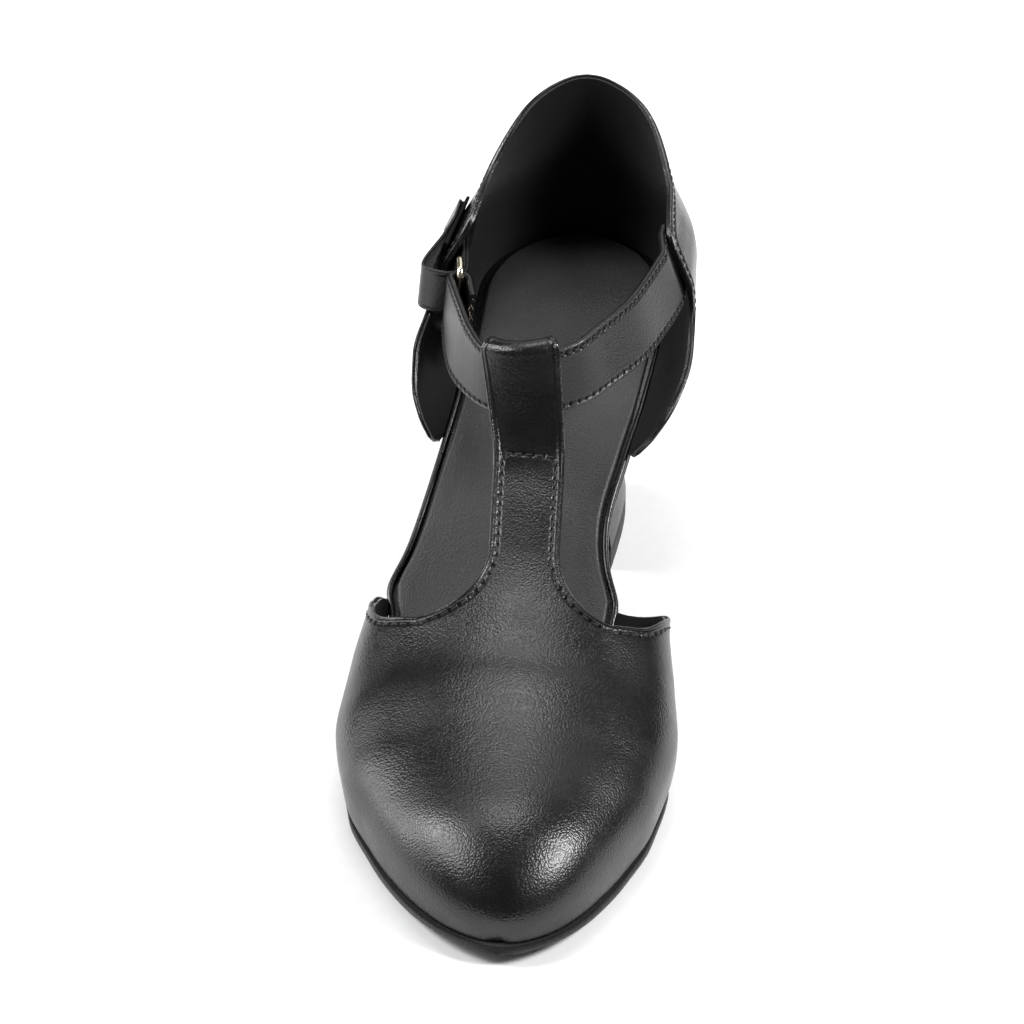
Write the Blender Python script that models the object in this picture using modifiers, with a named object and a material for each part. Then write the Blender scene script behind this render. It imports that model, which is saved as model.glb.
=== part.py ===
"""A women's T-strap shoe for the right foot, with a closed back, open waist and flared heel.

X runs across the foot with the inner (medial) side at +X, Y runs from the toe to the heel
and Z points up. The shoe stands on z = 0 and its box is centred on the origin.
"""

import math

import bpy
from mathutils import Vector

MM = 0.001

# Driving sizes of the last, the mould that the shoe is built over
LAST_LENGTH = 229.0 * MM
BALL_WIDTH = 77.0 * MM
SEAT_HEIGHT = 66.0 * MM
CROWN_HEIGHT = 33.0 * MM
TOE_BOX_LENGTH = 46.0 * MM
TOE_CAP_LENGTH = 30.0 * MM
HEEL_ROUND_LENGTH = 30.0 * MM
FOREFOOT_REST = 7.4 * MM

# Layers under the foot
CLEARANCE = 0.3 * MM
INSOLE_THICKNESS = 3.6 * MM
INSOLE_CUSHION = 0.7 * MM
INSOLE_EASE = 9.0 * MM
OUTSOLE_THICKNESS = 3.5 * MM
OUTSOLE_WELT = 1.6 * MM
OUTSOLE_CHAMFER = 1.3 * MM
OUTSOLE_TOE_LIFT = 0.9 * MM
OUTSOLE_WAIST_INSET = 1.0 * MM

# Vamp with its T-bar
UPPER_WALL = 1.6 * MM
T_BAR_WIDTH = 16.4 * MM
T_BAR_ANGLE = math.radians(13.0)
THROAT_ANGLE = math.radians(36.0)
VAMP_LENGTH = 96.5 * MM
OUTER_THROAT_DEPTH = 16.0 * MM
INNER_THROAT_DEPTH = 14.0 * MM
VAMP_FOOT = 112.5 * MM
LOOP_TAIL = 9.0 * MM
LOOP_SPREAD = 0.82
LOOP_CLEARANCE = 0.65 * MM

# Quarter, the closed back of the upper
QUARTER_START = 147.0 * MM
BACK_HEIGHT = 47.0 * MM
SIDE_BULGE = 5.0 * MM
BACK_LEAN = 5.2 * MM

# Straps and closure
STRAP_WIDTH = 16.5 * MM
STRAP_THICKNESS = 1.8 * MM
STRAP_FOLD_LENGTH = 9.0 * MM
TAB_WIDTH = 13.0 * MM
TAB_THICKNESS = 1.4 * MM
RING_WIRE = 1.8 * MM
RING_WIDTH = 21.2 * MM
RING_DEPTH = 9.2 * MM

# Flared heel and its top piece
HEEL_BREAST = 161.0 * MM
HEEL_BASE_FRONT = 162.5 * MM
HEEL_BASE_LENGTH = 44.0 * MM
HEEL_BASE_WIDTH = 33.0 * MM
HEEL_SEAT_INSET = 1.2 * MM
HEEL_FRONT_INSET = 3.2 * MM
TOP_PIECE_HEIGHT = 6.4 * MM
# The base's outline: how square its back is, its least width at the back, how much it
# tapers at the front and over which share of its length, and how deep the neck is lengthwise
HEEL_BASE_BOW = 2.6
HEEL_BASE_LEAST = 0.06
HEEL_BASE_TAPER = 0.07
HEEL_BASE_TAPER_END = 0.45
HEEL_NECK_DEPTH = 1.6

# Each row of the last: the share of its length from the toe, the outer and inner edge of
# its bottom and how far its sides bulge past them as shares of the ball width, the height
# of the insole's top over the forefoot as a share of the rise to the heel seat, and the
# height of the crown over the insole as a share of the crown height
LAST_COLUMNS = ("station", "outer", "inner", "rise", "crown", "outer_bulge", "inner_bulge")
LAST_ROWS = (
    (0.000, -0.284, 0.398, 0.045, 0.50, 0.010, 0.010),
    (0.075, -0.327, 0.405, 0.014, 0.62, 0.018, 0.018),
    (0.132, -0.372, 0.425, 0.000, 0.68, 0.026, 0.024),
    (0.200, -0.450, 0.468, 0.000, 0.77, 0.032, 0.030),
    (0.285, -0.505, 0.495, 0.000, 0.92, 0.038, 0.038),
    (0.360, -0.508, 0.425, 0.066, 0.98, 0.026, 0.080),
    (0.425, -0.490, 0.338, 0.172, 1.00, 0.020, 0.130),
    (0.490, -0.462, 0.262, 0.312, 1.02, 0.035, 0.185),
    (0.570, -0.410, 0.222, 0.505, 1.05, 0.060, 0.150),
    (0.643, -0.372, 0.256, 0.668, 1.10, 0.110, 0.090),
    (0.710, -0.345, 0.294, 0.802, 1.15, 0.115, 0.090),
    (0.795, -0.336, 0.316, 0.918, 1.20, 0.090, 0.080),
    (0.883, -0.337, 0.319, 0.978, 1.25, 0.070, 0.070),
    (0.950, -0.337, 0.319, 0.995, 1.25, 0.060, 0.060),
    (1.000, -0.337, 0.319, 1.000, 1.25, 0.060, 0.060),
)
TOE_CENTRE = 0.090
HEEL_CENTRE = -0.011
BULGE_LEVEL = 0.34

# The vamp's edge from the throat's lowest point down to the insole: the share of the way
# round, and the share of the way back, on the outer and on the inner side
VAMP_EDGE_COLUMNS = ("turn", "outer", "inner")
VAMP_EDGE_ROWS = (
    (0.000, 0.000, 0.000), (0.120, 0.125, 0.150), (0.250, 0.380, 0.420),
    (0.375, 0.628, 0.640), (0.600, 0.830, 0.840), (1.000, 1.000, 1.000),
)

# The quarter's upper edge: the share of the way round from its foot to the back seam,
# and its height over the insole as a share of the back height
TOPLINE_COLUMNS = ("round", "height")
TOPLINE_ROWS = (
    (0.00, 0.013), (0.03, 0.070), (0.07, 0.130), (0.12, 0.165), (0.19, 0.190),
    (0.26, 0.198), (0.32, 0.236), (0.355, 0.320), (0.38, 0.448), (0.40, 0.530),
    (0.43, 0.594), (0.48, 0.620), (0.57, 0.662), (0.69, 0.772), (0.82, 0.905),
    (0.91, 0.970), (0.97, 0.997), (1.00, 1.000),
)

# The quarter's wall from the insole up: the height as a share of the back height, the
# share of the bulge that it stands out, and the share of the lean that it comes back in
WALL_COLUMNS = ("height", "bulge", "lean")
WALL_ROWS = (
    (0.00, 0.00, 0.00), (0.08, 0.60, 0.00), (0.16, 0.92, 0.00), (0.25, 1.00, 0.00),
    (0.34, 0.92, 0.06), (0.44, 0.66, 0.20), (0.54, 0.36, 0.38), (0.64, 0.16, 0.55),
    (0.80, 0.02, 0.79), (1.00, 0.00, 1.00),
)
# How far the wall bulges and leans on the way round, as shares of the named sizes
ROUND_COLUMNS = ("round", "outer_bulge", "inner_bulge", "outer_lean", "inner_lean")
ROUND_ROWS = (
    (0.00, 1.60, 1.55, 0.30, 0.30), (0.18, 2.05, 1.95, 0.50, 0.40),
    (0.36, 1.50, 1.45, 0.85, 0.60), (0.60, 0.95, 1.05, 1.25, 0.75),
    (0.85, 0.72, 0.80, 0.80, 0.40), (1.00, 0.66, 0.66, 0.40, 0.40),
)

# The instep strap between the quarter and the ring: across as a share of the ball width,
# along as a share of the last's length, height as a share of the seat height, and the
# direction of its upper edge
STRAP_COLUMNS = ("across", "along", "height", "lean_x", "lean_y")
STRAP_ROWS = (
    (0.357, 0.7803, 1.240, -0.34, 0.12),
    (0.317, 0.7319, 1.216, -0.33, 0.18),
    (0.266, 0.6799, 1.199, -0.30, 0.20),
    (0.182, 0.6319, 1.181, -0.22, 0.20),
    (0.096, 0.5948, 1.161, -0.12, 0.18),
    (-0.060, 0.5729, 1.146, -0.02, 0.16),
    (-0.190, 0.5904, 1.124, 0.04, 0.12),
    (-0.282, 0.6384, 1.120, 0.08, 0.05),
    (-0.338, 0.6886, 1.131, 0.10, 0.02),
    (-0.387, 0.7389, 1.141, 0.10, 0.00),
)
# Where the T-bar's loop crosses the strap, as a share of the ball width
LOOP_ACROSS = -0.060
# The strap's sewn end along the inner quarter: the share of the way round and the height of
# its middle as a share of the seat height
STRAP_SEAT_ROWS = ((0.465, 1.256), (0.44, 1.253), (0.415, 1.250))

# The closure tab through the ring: how far its stations lie outside the ring's rear bar and
# behind it, as shares of the ring's depth
TAB_COLUMNS = ("out", "back")
TAB_ROWS = ((0.00, -0.20), (0.34, -0.26), (0.78, -0.12), (0.97, 0.26))
# Its two ends along the outer quarter: the share of the way round, the height of its middle
# as a share of the seat height, and how far it stands off the wall as a share of its thickness
TAB_END_COLUMNS = ("round", "height", "stand")
TAB_INSIDE_ROWS = ((0.58, 1.200), (0.51, 1.188), (0.455, 1.178))
TAB_OUTSIDE_ROWS = ((0.44, 1.190, 1.15), (0.51, 1.222, 0.7), (0.575, 1.255, 1.4))

# The heel from its base up: the share of its height, how far its outline has grown from
# the base to the seat, and how far it is drawn in at the neck
HEEL_COLUMNS = ("height", "growth", "waist")
HEEL_ROWS = (
    (0.00, 0.00, 0.000), (0.06, 0.02, 0.035), (0.14, 0.05, 0.085), (0.26, 0.11, 0.140),
    (0.40, 0.22, 0.150), (0.55, 0.40, 0.110), (0.70, 0.62, 0.055), (0.85, 0.83, 0.018),
    (1.00, 1.00, 0.000),
)

# How finely the shapes are divided
VAMP_ROWS = 15
VAMP_SIDE_COLUMNS = 9
THROAT_COLUMNS = 6
LOOP_ANGLES = [math.pi * i / 6 for i in range(7)]
SLOPE_STEP = 4.0 * MM
T_BAR_COLUMNS = 4
QUARTER_COLUMNS = 44
QUARTER_ROWS = 8
QUARTER_CROWDING = 1.15
PLATE_RUNGS = 30
PLATE_COLUMNS = 6
HEEL_RUNGS = 12

COLOURS = {
    "leather": (0.018, 0.018, 0.020, 1.0),
    "lining": (0.012, 0.012, 0.013, 1.0),
    "suede": (0.030, 0.029, 0.029, 1.0),
    "insole": (0.045, 0.045, 0.048, 1.0),
    "pile": (0.020, 0.020, 0.020, 1.0),
    "metal": (0.72, 0.66, 0.55, 1.0),
    "rubber": (0.015, 0.015, 0.015, 1.0),
}


def follow(rows, columns, name, at):
    """The named column of a table, read smoothly at a value of its first column."""
    k = columns.index(name)
    at = min(max(at, rows[0][0]), rows[-1][0])
    i = max(j for j in range(len(rows) - 1) if rows[j][0] <= at)

    def steepness(a):
        return (rows[a + 1][k] - rows[a][k]) / (rows[a + 1][0] - rows[a][0])

    def slope(j):
        if j == 0:
            return steepness(0)
        if j == len(rows) - 1:
            return steepness(j - 1)
        before = steepness(j - 1)
        after = steepness(j)
        if before * after <= 0.0:
            return 0.0
        return 2.0 * before * after / (before + after)

    span = rows[i + 1][0] - rows[i][0]
    t = (at - rows[i][0]) / span
    rise = rows[i + 1][k] - rows[i][k]
    start = slope(i) * span
    end = slope(i + 1) * span
    bend = 3 * rise - 2 * start - end
    twist = start + end - 2 * rise
    return rows[i][k] + t * (start + t * (bend + t * twist))


def last(name, y):
    """A column of the last at a distance y from its toe."""
    return follow(LAST_ROWS, LAST_COLUMNS, name, y / LAST_LENGTH)


def round_off(distance, length):
    """How far a round end has opened at this distance from its tip, from 0 to 1."""
    return math.sqrt(max(0.0, 1.0 - (1.0 - min(max(distance, 0.0), length) / length) ** 2))


def edge(side, y, margin=0.0):
    """Where the last's bottom edge is across the foot, moved out by a margin."""
    y_in = min(max(y, 0.0), LAST_LENGTH)
    x = last("outer" if side < 0 else "inner", y_in) * BALL_WIDTH + side * margin
    toe = round_off(y + margin, TOE_BOX_LENGTH)
    heel = round_off(LAST_LENGTH + margin - y, HEEL_ROUND_LENGTH)
    centre = TOE_CENTRE if y < LAST_LENGTH / 2 else HEEL_CENTRE
    return centre * BALL_WIDTH + (x - centre * BALL_WIDTH) * toe * heel


def seat(y):
    """The height of the insole's top."""
    rise = last("rise", min(max(y, 0.0), LAST_LENGTH))
    return FOREFOOT_REST + rise * (SEAT_HEIGHT - FOREFOOT_REST)


def steepening(y):
    """How much taller a layer is, measured upright, where the bottom slopes."""
    step = 2.0 * MM
    return math.hypot(1.0, (seat(y + step) - seat(y - step)) / (2 * step))


def insole_bottom(y):
    return seat(y) - INSOLE_THICKNESS * steepening(y)


def outsole_top(y):
    return insole_bottom(y) - CLEARANCE


def outsole_bottom(y):
    return outsole_top(y) - OUTSOLE_THICKNESS * steepening(y)


def vamp_point(y, turn):
    """A point on the vamp's outside: turn 0 is the crown and pi, either way, its lower edge."""
    side = -1 if turn < 0 else 1
    turn = abs(turn)
    foot_z = outsole_top(y) + CLEARANCE
    foot_x = edge(side, y, CLEARANCE)
    opening = round_off(y + CLEARANCE, TOE_CAP_LENGTH)
    crown = last("crown", y) * CROWN_HEIGHT * opening + INSOLE_THICKNESS
    bulge = last("outer_bulge" if side < 0 else "inner_bulge", y) * BALL_WIDTH * opening
    wide_x = foot_x + side * bulge
    wide_z = foot_z + BULGE_LEVEL * crown
    ridge_x = ridge_across(y)
    if turn <= math.pi / 2:
        x = ridge_x + (wide_x - ridge_x) * math.sin(turn)
        return Vector((x, y - CLEARANCE, wide_z + (1 - BULGE_LEVEL) * crown * math.cos(turn)))
    x = foot_x + (wide_x - foot_x) * math.sin(turn)
    return Vector((x, y - CLEARANCE, wide_z + (wide_z - foot_z) * math.cos(turn)))


def ridge_across(y):
    """Where the crown of the vamp is across the foot: over the toe, then nearer the outside."""
    share = min(y / VAMP_LENGTH, 1.0)
    return BALL_WIDTH * (TOE_CENTRE + share * (LOOP_ACROSS / 3 - TOE_CENTRE))


def throat_reach(turn):
    """How far back the vamp goes at this turn from the crown."""
    name = "outer" if turn < 0 else "inner"
    depth = OUTER_THROAT_DEPTH if turn < 0 else INNER_THROAT_DEPTH
    turn = abs(turn)
    low = VAMP_LENGTH - depth
    if turn < THROAT_ANGLE:
        share = (THROAT_ANGLE - turn) / (THROAT_ANGLE - T_BAR_ANGLE)
        return low + depth * (1.0 - math.sqrt(max(0.0, 1.0 - share * share)))
    share = (turn - THROAT_ANGLE) / (math.pi - THROAT_ANGLE)
    return low + (VAMP_FOOT - low) * follow(VAMP_EDGE_ROWS, VAMP_EDGE_COLUMNS, name, share)


def outline_round(side, margin=0.0, count=240):
    """Points along the insole's edge from the quarter's foot to the middle of the back."""
    points = []
    for i in range(count + 1):
        share = math.sin(math.pi / 2 * i / count)
        y = QUARTER_START + (LAST_LENGTH + margin - QUARTER_START) * share
        points.append(Vector((edge(side, y, margin), y, 0.0)))
    return points


def along(points, share):
    """The point and the direction at a share of a line's length."""
    lengths = [0.0]
    for a, b in zip(points, points[1:]):
        lengths.append(lengths[-1] + (b - a).length)
    want = min(max(share, 0.0), 1.0) * lengths[-1]
    i = max(j for j in range(len(points) - 1) if lengths[j] <= want)
    span = lengths[i + 1] - lengths[i]
    t = 0.0 if span == 0 else (want - lengths[i]) / span
    return points[i].lerp(points[i + 1], t), (points[i + 1] - points[i]).normalized()


def quarter_point(side, share, height, offset=0.0):
    """A point on the quarter's inner wall at a height over the insole, moved out by an offset."""
    base, direction = along(outline_round(side, CLEARANCE), share)
    out = Vector((direction.y, -direction.x, 0.0)) * side
    if share > 0.999:
        out = Vector((0.0, 1.0, 0.0))
    level = max(height, 0.0) / BACK_HEIGHT
    name = "outer_bulge" if side < 0 else "inner_bulge"
    bulge = SIDE_BULGE * follow(ROUND_ROWS, ROUND_COLUMNS, name, share)
    name = "outer_lean" if side < 0 else "inner_lean"
    lean = BACK_LEAN * follow(ROUND_ROWS, ROUND_COLUMNS, name, share)
    stand = bulge * follow(WALL_ROWS, WALL_COLUMNS, "bulge", level)
    stand -= lean * follow(WALL_ROWS, WALL_COLUMNS, "lean", level)
    point = base + out * (stand + offset)
    point.z = seat(base.y) + height
    return point


def topline(share):
    """The quarter's height over the insole at a share of the way round."""
    return BACK_HEIGHT * follow(TOPLINE_ROWS, TOPLINE_COLUMNS, "height", share)


def smooth_path(points, steps):
    """A smooth line through the points, with some steps between each two."""
    line = []
    for i in range(len(points) - 1):
        before = points[max(i - 1, 0)]
        start = points[i]
        end = points[i + 1]
        after = points[min(i + 2, len(points) - 1)]
        for j in range(steps):
            t = j / steps
            m0 = (end - before) / 2
            m1 = (after - start) / 2
            line.append(
                start * (2 * t ** 3 - 3 * t ** 2 + 1) + m0 * (t ** 3 - 2 * t ** 2 + t)
                + end * (3 * t ** 2 - 2 * t ** 3) + m1 * (t ** 3 - t ** 2)
            )
    line.append(points[-1])
    return line


def material(name):
    """The Principled material of that name, made once."""
    if name in bpy.data.materials:
        return bpy.data.materials[name]
    made = bpy.data.materials.new(name)
    made.use_nodes = True
    shader = made.node_tree.nodes["Principled BSDF"]
    shader.inputs["Base Color"].default_value = COLOURS[name]
    shader.inputs["Metallic"].default_value = 1.0 if name == "metal" else 0.0
    roughness = {"metal": 0.25, "leather": 0.42, "suede": 0.95, "pile": 0.95, "lining": 0.85}
    shader.inputs["Roughness"].default_value = roughness.get(name, 0.6)
    return made


def add_object(name, points, faces, finish, collection):
    """A smooth-shaded mesh object from its points and faces."""
    mesh = bpy.data.meshes.new(name)
    mesh.from_pydata([tuple(p) for p in points], [], faces)
    mesh.validate()
    mesh.materials.append(material(finish))
    for polygon in mesh.polygons:
        polygon.use_smooth = True
    made = bpy.data.objects.new(name, mesh)
    collection.objects.link(made)
    return made


def thicken(made, thickness, offset):
    """Gives an open surface its wall."""
    wall = made.modifiers.new("wall", "SOLIDIFY")
    wall.thickness = thickness
    wall.offset = offset
    wall.use_even_offset = True
    wall.thickness_clamp = 0.0
    return made


def grid_faces(rows, columns, start=0):
    """The faces of a grid of points that is stored row by row."""
    faces = []
    for i in range(rows - 1):
        for j in range(columns - 1):
            a = start + i * columns + j
            faces.append((a, a + 1, a + columns + 1, a + columns))
    return faces


def block_faces(levels, rungs, columns):
    """The faces of a closed body whose points run by level, then rung, then across."""
    def at(level, rung, column):
        return (level * rungs + rung) * columns + column

    bottom = grid_faces(rungs, columns)
    top = levels - 1
    faces = [tuple(reversed(face)) for face in bottom]
    faces += grid_faces(rungs, columns, at(top, 0, 0))
    rim = [(0, j) for j in range(columns)]
    rim += [(i, columns - 1) for i in range(1, rungs)]
    rim += [(rungs - 1, j) for j in range(columns - 2, -1, -1)]
    rim += [(i, 0) for i in range(rungs - 2, 0, -1)]
    for level in range(top):
        for a, b in zip(rim, rim[1:] + rim[:1]):
            faces.append((at(level, *a), at(level, *b), at(level + 1, *b), at(level + 1, *a)))
    return faces


def plate_stations(start, end):
    """Stations from one rounded end of a plate to the other, close together at both ends."""
    return [
        start + (end - start) * (1 - math.cos(math.pi * (i + 0.35) / (PLATE_RUNGS - 0.3))) / 2
        for i in range(PLATE_RUNGS)
    ]


def insole_margin(y):
    """How far the insole stands in from the last's edge: more where the vamp wraps it."""
    free = min(max((y - VAMP_FOOT) / INSOLE_EASE, 0.0), 1.0)
    return -2 * CLEARANCE - UPPER_WALL * (1 - free * free * (3 - 2 * free))


def build_insole(collection):
    """The padded insole: it fills the last's bottom, and its edge shows at the waist."""
    points = []
    for level in (0, 1, 2):
        for y in plate_stations(-insole_margin(0.0), LAST_LENGTH - 2 * CLEARANCE):
            margin = insole_margin(y)
            outer = edge(-1, y, margin)
            inner = edge(1, y, margin)
            for j in range(PLATE_COLUMNS + 1):
                across = -math.cos(math.pi * j / PLATE_COLUMNS)
                x = (outer + inner) / 2 + (inner - outer) / 2 * across
                fall = 1.0 - across ** 4
                if level == 0:
                    z = insole_bottom(y) + CLEARANCE / 2
                elif level == 1:
                    z = seat(y) - INSOLE_CUSHION * 2
                else:
                    z = seat(y) - INSOLE_CUSHION * (1.0 - fall)
                    x = (outer + inner) / 2 + (inner - outer - 2 * INSOLE_CUSHION) / 2 * across
                points.append((x, y, z))
    faces = block_faces(3, PLATE_RUNGS, PLATE_COLUMNS + 1)
    return add_object("insole", points, faces, "insole", collection)


def outsole_margin(y):
    """How far the outsole stands out from the last's edge: round the forefoot, not the waist."""
    waist = min(max((y / LAST_LENGTH - 0.38) / 0.10, 0.0), 1.0)
    ease = waist * waist * (3 - 2 * waist)
    back = min(max((y / LAST_LENGTH - 0.66) / 0.10, 0.0), 1.0)
    to_heel = back * back * (3 - 2 * back)
    waist_margin = -OUTSOLE_WAIST_INSET + to_heel * (OUTSOLE_WAIST_INSET + UPPER_WALL)
    return OUTSOLE_WELT * (1 - ease) + waist_margin * ease


def build_outsole(collection):
    """The thin suede outsole, flat on the floor under the forefoot and rising to the heel."""
    points = []
    for inset, lift, top in ((OUTSOLE_CHAMFER, 0.0, 0), (0.0, OUTSOLE_CHAMFER, 0), (0.0, 0.0, 1)):
        front = inset - OUTSOLE_WELT
        for y in plate_stations(front, LAST_LENGTH + UPPER_WALL - inset):
            margin = outsole_margin(y) - inset
            outer = edge(-1, y, margin)
            inner = edge(1, y, margin)
            toe = max(0.0, 1.0 - (y - front) / TOE_CAP_LENGTH) ** 2
            height = outsole_top(y) if top else outsole_bottom(y) + lift + toe * OUTSOLE_TOE_LIFT
            for j in range(PLATE_COLUMNS + 1):
                x = outer + (inner - outer) * j / PLATE_COLUMNS
                points.append((x, y, height))
    faces = block_faces(3, PLATE_RUNGS, PLATE_COLUMNS + 1)
    return add_object("outsole", points, faces, "suede", collection)


def strap_frame(share):
    """The middle line, the upward direction and the direction along the strap at a share of it."""
    rows = [Vector((r[0] * BALL_WIDTH, r[1] * LAST_LENGTH, r[2] * SEAT_HEIGHT)) for r in STRAP_ROWS]
    leans = [Vector((r[3], r[4], 1.0)).normalized() for r in STRAP_ROWS]
    steps = 8
    line = smooth_path(rows, steps)
    turns = smooth_path(leans, steps)
    i = min(int(share * (len(line) - 1)), len(line) - 2)
    t = share * (len(line) - 1) - i
    direction = (line[i + 1] - line[i]).normalized()
    up = turns[i].lerp(turns[i + 1], t)
    up = (up - direction * up.dot(direction)).normalized()
    return line[i].lerp(line[i + 1], t), up, direction


def wall_station(side, row, width, stand):
    """The middle and the upward direction of a band that lies along the quarter's wall."""
    share, height = row[:2]
    over_seat = height * SEAT_HEIGHT - seat(quarter_point(side, share, 0.0).y)
    low = quarter_point(side, share, over_seat - width / 2, stand)
    high = quarter_point(side, share, over_seat + width / 2, stand)
    centre = (low + high) / 2 if stand < 0 else quarter_point(side, share, over_seat, stand)
    return centre, (high - low).normalized()


def band(name, centres, ups, width, thickness, finish, collection, offset=0.0):
    """A flat band of even width and thickness along a line of centres."""
    points = []
    for centre, up in zip(centres, ups):
        for j in range(3):
            points.append(centre + up * width * (j - 1) / 2)
    made = add_object(name, points, grid_faces(len(centres), 3), finish, collection)
    return thicken(made, thickness, offset)


def turn_back(centre, start, up, angle, steps):
    """Points on an arc about an upright axis through the centre, from the start point."""
    arm = start - centre
    along_up = up * arm.dot(up)
    flat = arm - along_up
    across = up.cross(flat)
    points = []
    for i in range(steps + 1):
        a = angle * i / steps
        points.append(centre + along_up + flat * math.cos(a) + across * math.sin(a))
    return points


def ring_frame():
    """The ring's middle, its long direction, and the direction from its front to its rear bar."""
    end, up, direction = strap_frame(1.0)
    inward = direction.cross(up).normalized()
    if inward.x < 0:
        inward = -inward
    gap = RING_WIRE / 2 + LOOP_CLEARANCE + STRAP_THICKNESS / 2
    front_bar = end + inward * gap
    back = (direction + inward * 0.08 + up * 0.03).normalized()
    long_way = (up - back * up.dot(back)).normalized()
    reach = RING_DEPTH - RING_WIRE
    return front_bar, front_bar + back * reach, long_way, back, inward


def build_strap(collection):
    """The instep strap: sewn inside the inner quarter, and folded round the ring outside."""
    stand = -(2 * CLEARANCE + STRAP_THICKNESS / 2)
    stations = [wall_station(1, row, STRAP_WIDTH, stand) for row in STRAP_SEAT_ROWS]
    centres = [station[0] for station in stations]
    ups = [station[1] for station in stations]
    count = 40
    main = [strap_frame(i / count) for i in range(count + 1)]
    lead = smooth_path([*centres, main[0][0], main[2][0]], 4)[:-4]
    lead_ups = smooth_path([*ups, main[0][1], main[2][1]], 4)[:-4]
    line = lead[:-1] + [m[0] for m in main]
    turned = lead_ups[:-1] + [m[1] for m in main]
    front_bar, _, _, _, inward = ring_frame()
    end, up, direction = main[-1]
    arc = turn_back(front_bar, end, up, math.pi, 6)
    if (arc[3] - end).dot(direction) < 0:
        arc = turn_back(front_bar, end, up, -math.pi, 6)
    back_leg = []
    strap_length = sum((b[0] - a[0]).length for a, b in zip(main, main[1:]))
    for i in (1, 2, 3):
        centre, _, local = strap_frame(1.0 - STRAP_FOLD_LENGTH * i / 3 / strap_length)
        inside = local.cross(up).normalized()
        if inside.x < 0:
            inside = -inside
        back_leg.append(centre + inside * (arc[-1] - end).length)
    line += arc[1:] + back_leg
    turned += [up] * (len(line) - len(turned))
    return band("instep_strap", line, turned, STRAP_WIDTH, STRAP_THICKNESS, "leather", collection)


def build_ring(collection):
    """The metal ring: a rounded rectangle of wire."""
    front, rear, long_way, back, _ = ring_frame()
    middle = (front + rear) / 2
    half_long = (RING_WIDTH - RING_WIRE) / 2
    half_short = (RING_DEPTH - RING_WIRE) / 2
    corner = RING_WIRE * 1.1
    curve = bpy.data.curves.new("strap_ring", "CURVE")
    curve.dimensions = "3D"
    curve.bevel_depth = RING_WIRE / 2
    curve.bevel_resolution = 2
    spline = curve.splines.new("POLY")
    points = []
    for quarter_turn, (sx, sy) in enumerate(((1, 1), (-1, 1), (-1, -1), (1, -1))):
        for i in range(5):
            a = math.pi / 2 * (quarter_turn + i / 4)
            u = sx * (half_short - corner) + corner * math.cos(a)
            v = sy * (half_long - corner) + corner * math.sin(a)
            points.append(middle + back * u + long_way * v)
    spline.points.add(len(points) - 1)
    for spot, place in zip(spline.points, points):
        spot.co = (*place, 1.0)
    spline.use_cyclic_u = True
    curve.materials.append(material("metal"))
    made = bpy.data.objects.new("strap_ring", curve)
    collection.objects.link(made)
    return made


def build_tab(collection):
    """The closure tab: sewn inside the outer quarter, through the ring and back outside."""
    _, rear, long_way, back, inward = ring_frame()
    near = CLEARANCE + TAB_THICKNESS / 2
    stations = [wall_station(-1, row, TAB_WIDTH, -near) for row in TAB_INSIDE_ROWS]
    stations.append((rear + inward * (RING_WIRE / 2 + near), long_way))
    for out, behind in TAB_ROWS:
        stations.append((rear - inward * RING_DEPTH * out + back * RING_DEPTH * behind, long_way))
    for row in TAB_OUTSIDE_ROWS:
        stand = UPPER_WALL + near + row[2] * TAB_THICKNESS
        stations.append(wall_station(-1, row, TAB_WIDTH, stand))
    centres = smooth_path([s[0] for s in stations], 4)
    ups = smooth_path([s[1] for s in stations], 4)
    return band("closure_tab", centres, ups, TAB_WIDTH, TAB_THICKNESS, "pile", collection)


def build_quarter(collection):
    """The closed back of the upper, from its outer foot round the heel to its inner foot."""
    points = []
    half = QUARTER_COLUMNS // 2
    shares = [(-1, i / half) for i in range(half + 1)] + [(1, 1 - i / half) for i in range(1, half + 1)]
    for side, share in shares:
        share = share ** QUARTER_CROWDING
        bottom = -INSOLE_THICKNESS * steepening(quarter_point(side, share, 0.0).y)
        top = topline(share)
        points.append(quarter_point(side, share, bottom))
        for j in range(QUARTER_ROWS):
            points.append(quarter_point(side, share, top * j / (QUARTER_ROWS - 1)))
    faces = grid_faces(len(shares), QUARTER_ROWS + 1)
    made = add_object("upper_quarter", points, faces, "leather", collection)
    return thicken(made, UPPER_WALL, 1.0)


def strap_share_at(x):
    """The share of the strap at which it is this far across the foot."""
    return min((i / 400 for i in range(401)), key=lambda share: abs(strap_frame(share)[0].x - x))


def loop_path(start, slope, share):
    """A line on the T-bar's outside: up, over the strap at a share of it, and down behind."""
    centre, up, direction = strap_frame(share)
    front = direction.cross(up).normalized()
    if front.y > 0:
        front = -front
    gap = STRAP_THICKNESS / 2 + LOOP_CLEARANCE + UPPER_WALL
    half = STRAP_WIDTH / 2
    top = centre + up * (half + CLEARANCE)
    bottom = centre - up * half
    below = bottom - up * LOOP_TAIL * 0.2 + front * gap
    foot = bottom - up * LOOP_TAIL * 0.62 + front * (gap + LOOP_TAIL * 0.16)
    rise = [start - slope, start, start.lerp(foot, 0.5), foot.lerp(start, 0.22), foot, below]
    path = smooth_path([*rise, centre + front * gap], 4)[4:]
    path += [top + (front * math.cos(a) + up * math.sin(a)) * gap for a in LOOP_ANGLES]
    path += [centre - front * gap, bottom - front * gap]
    path.append(bottom - up * LOOP_TAIL * 0.45 - front * UPPER_WALL)
    return path


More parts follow.
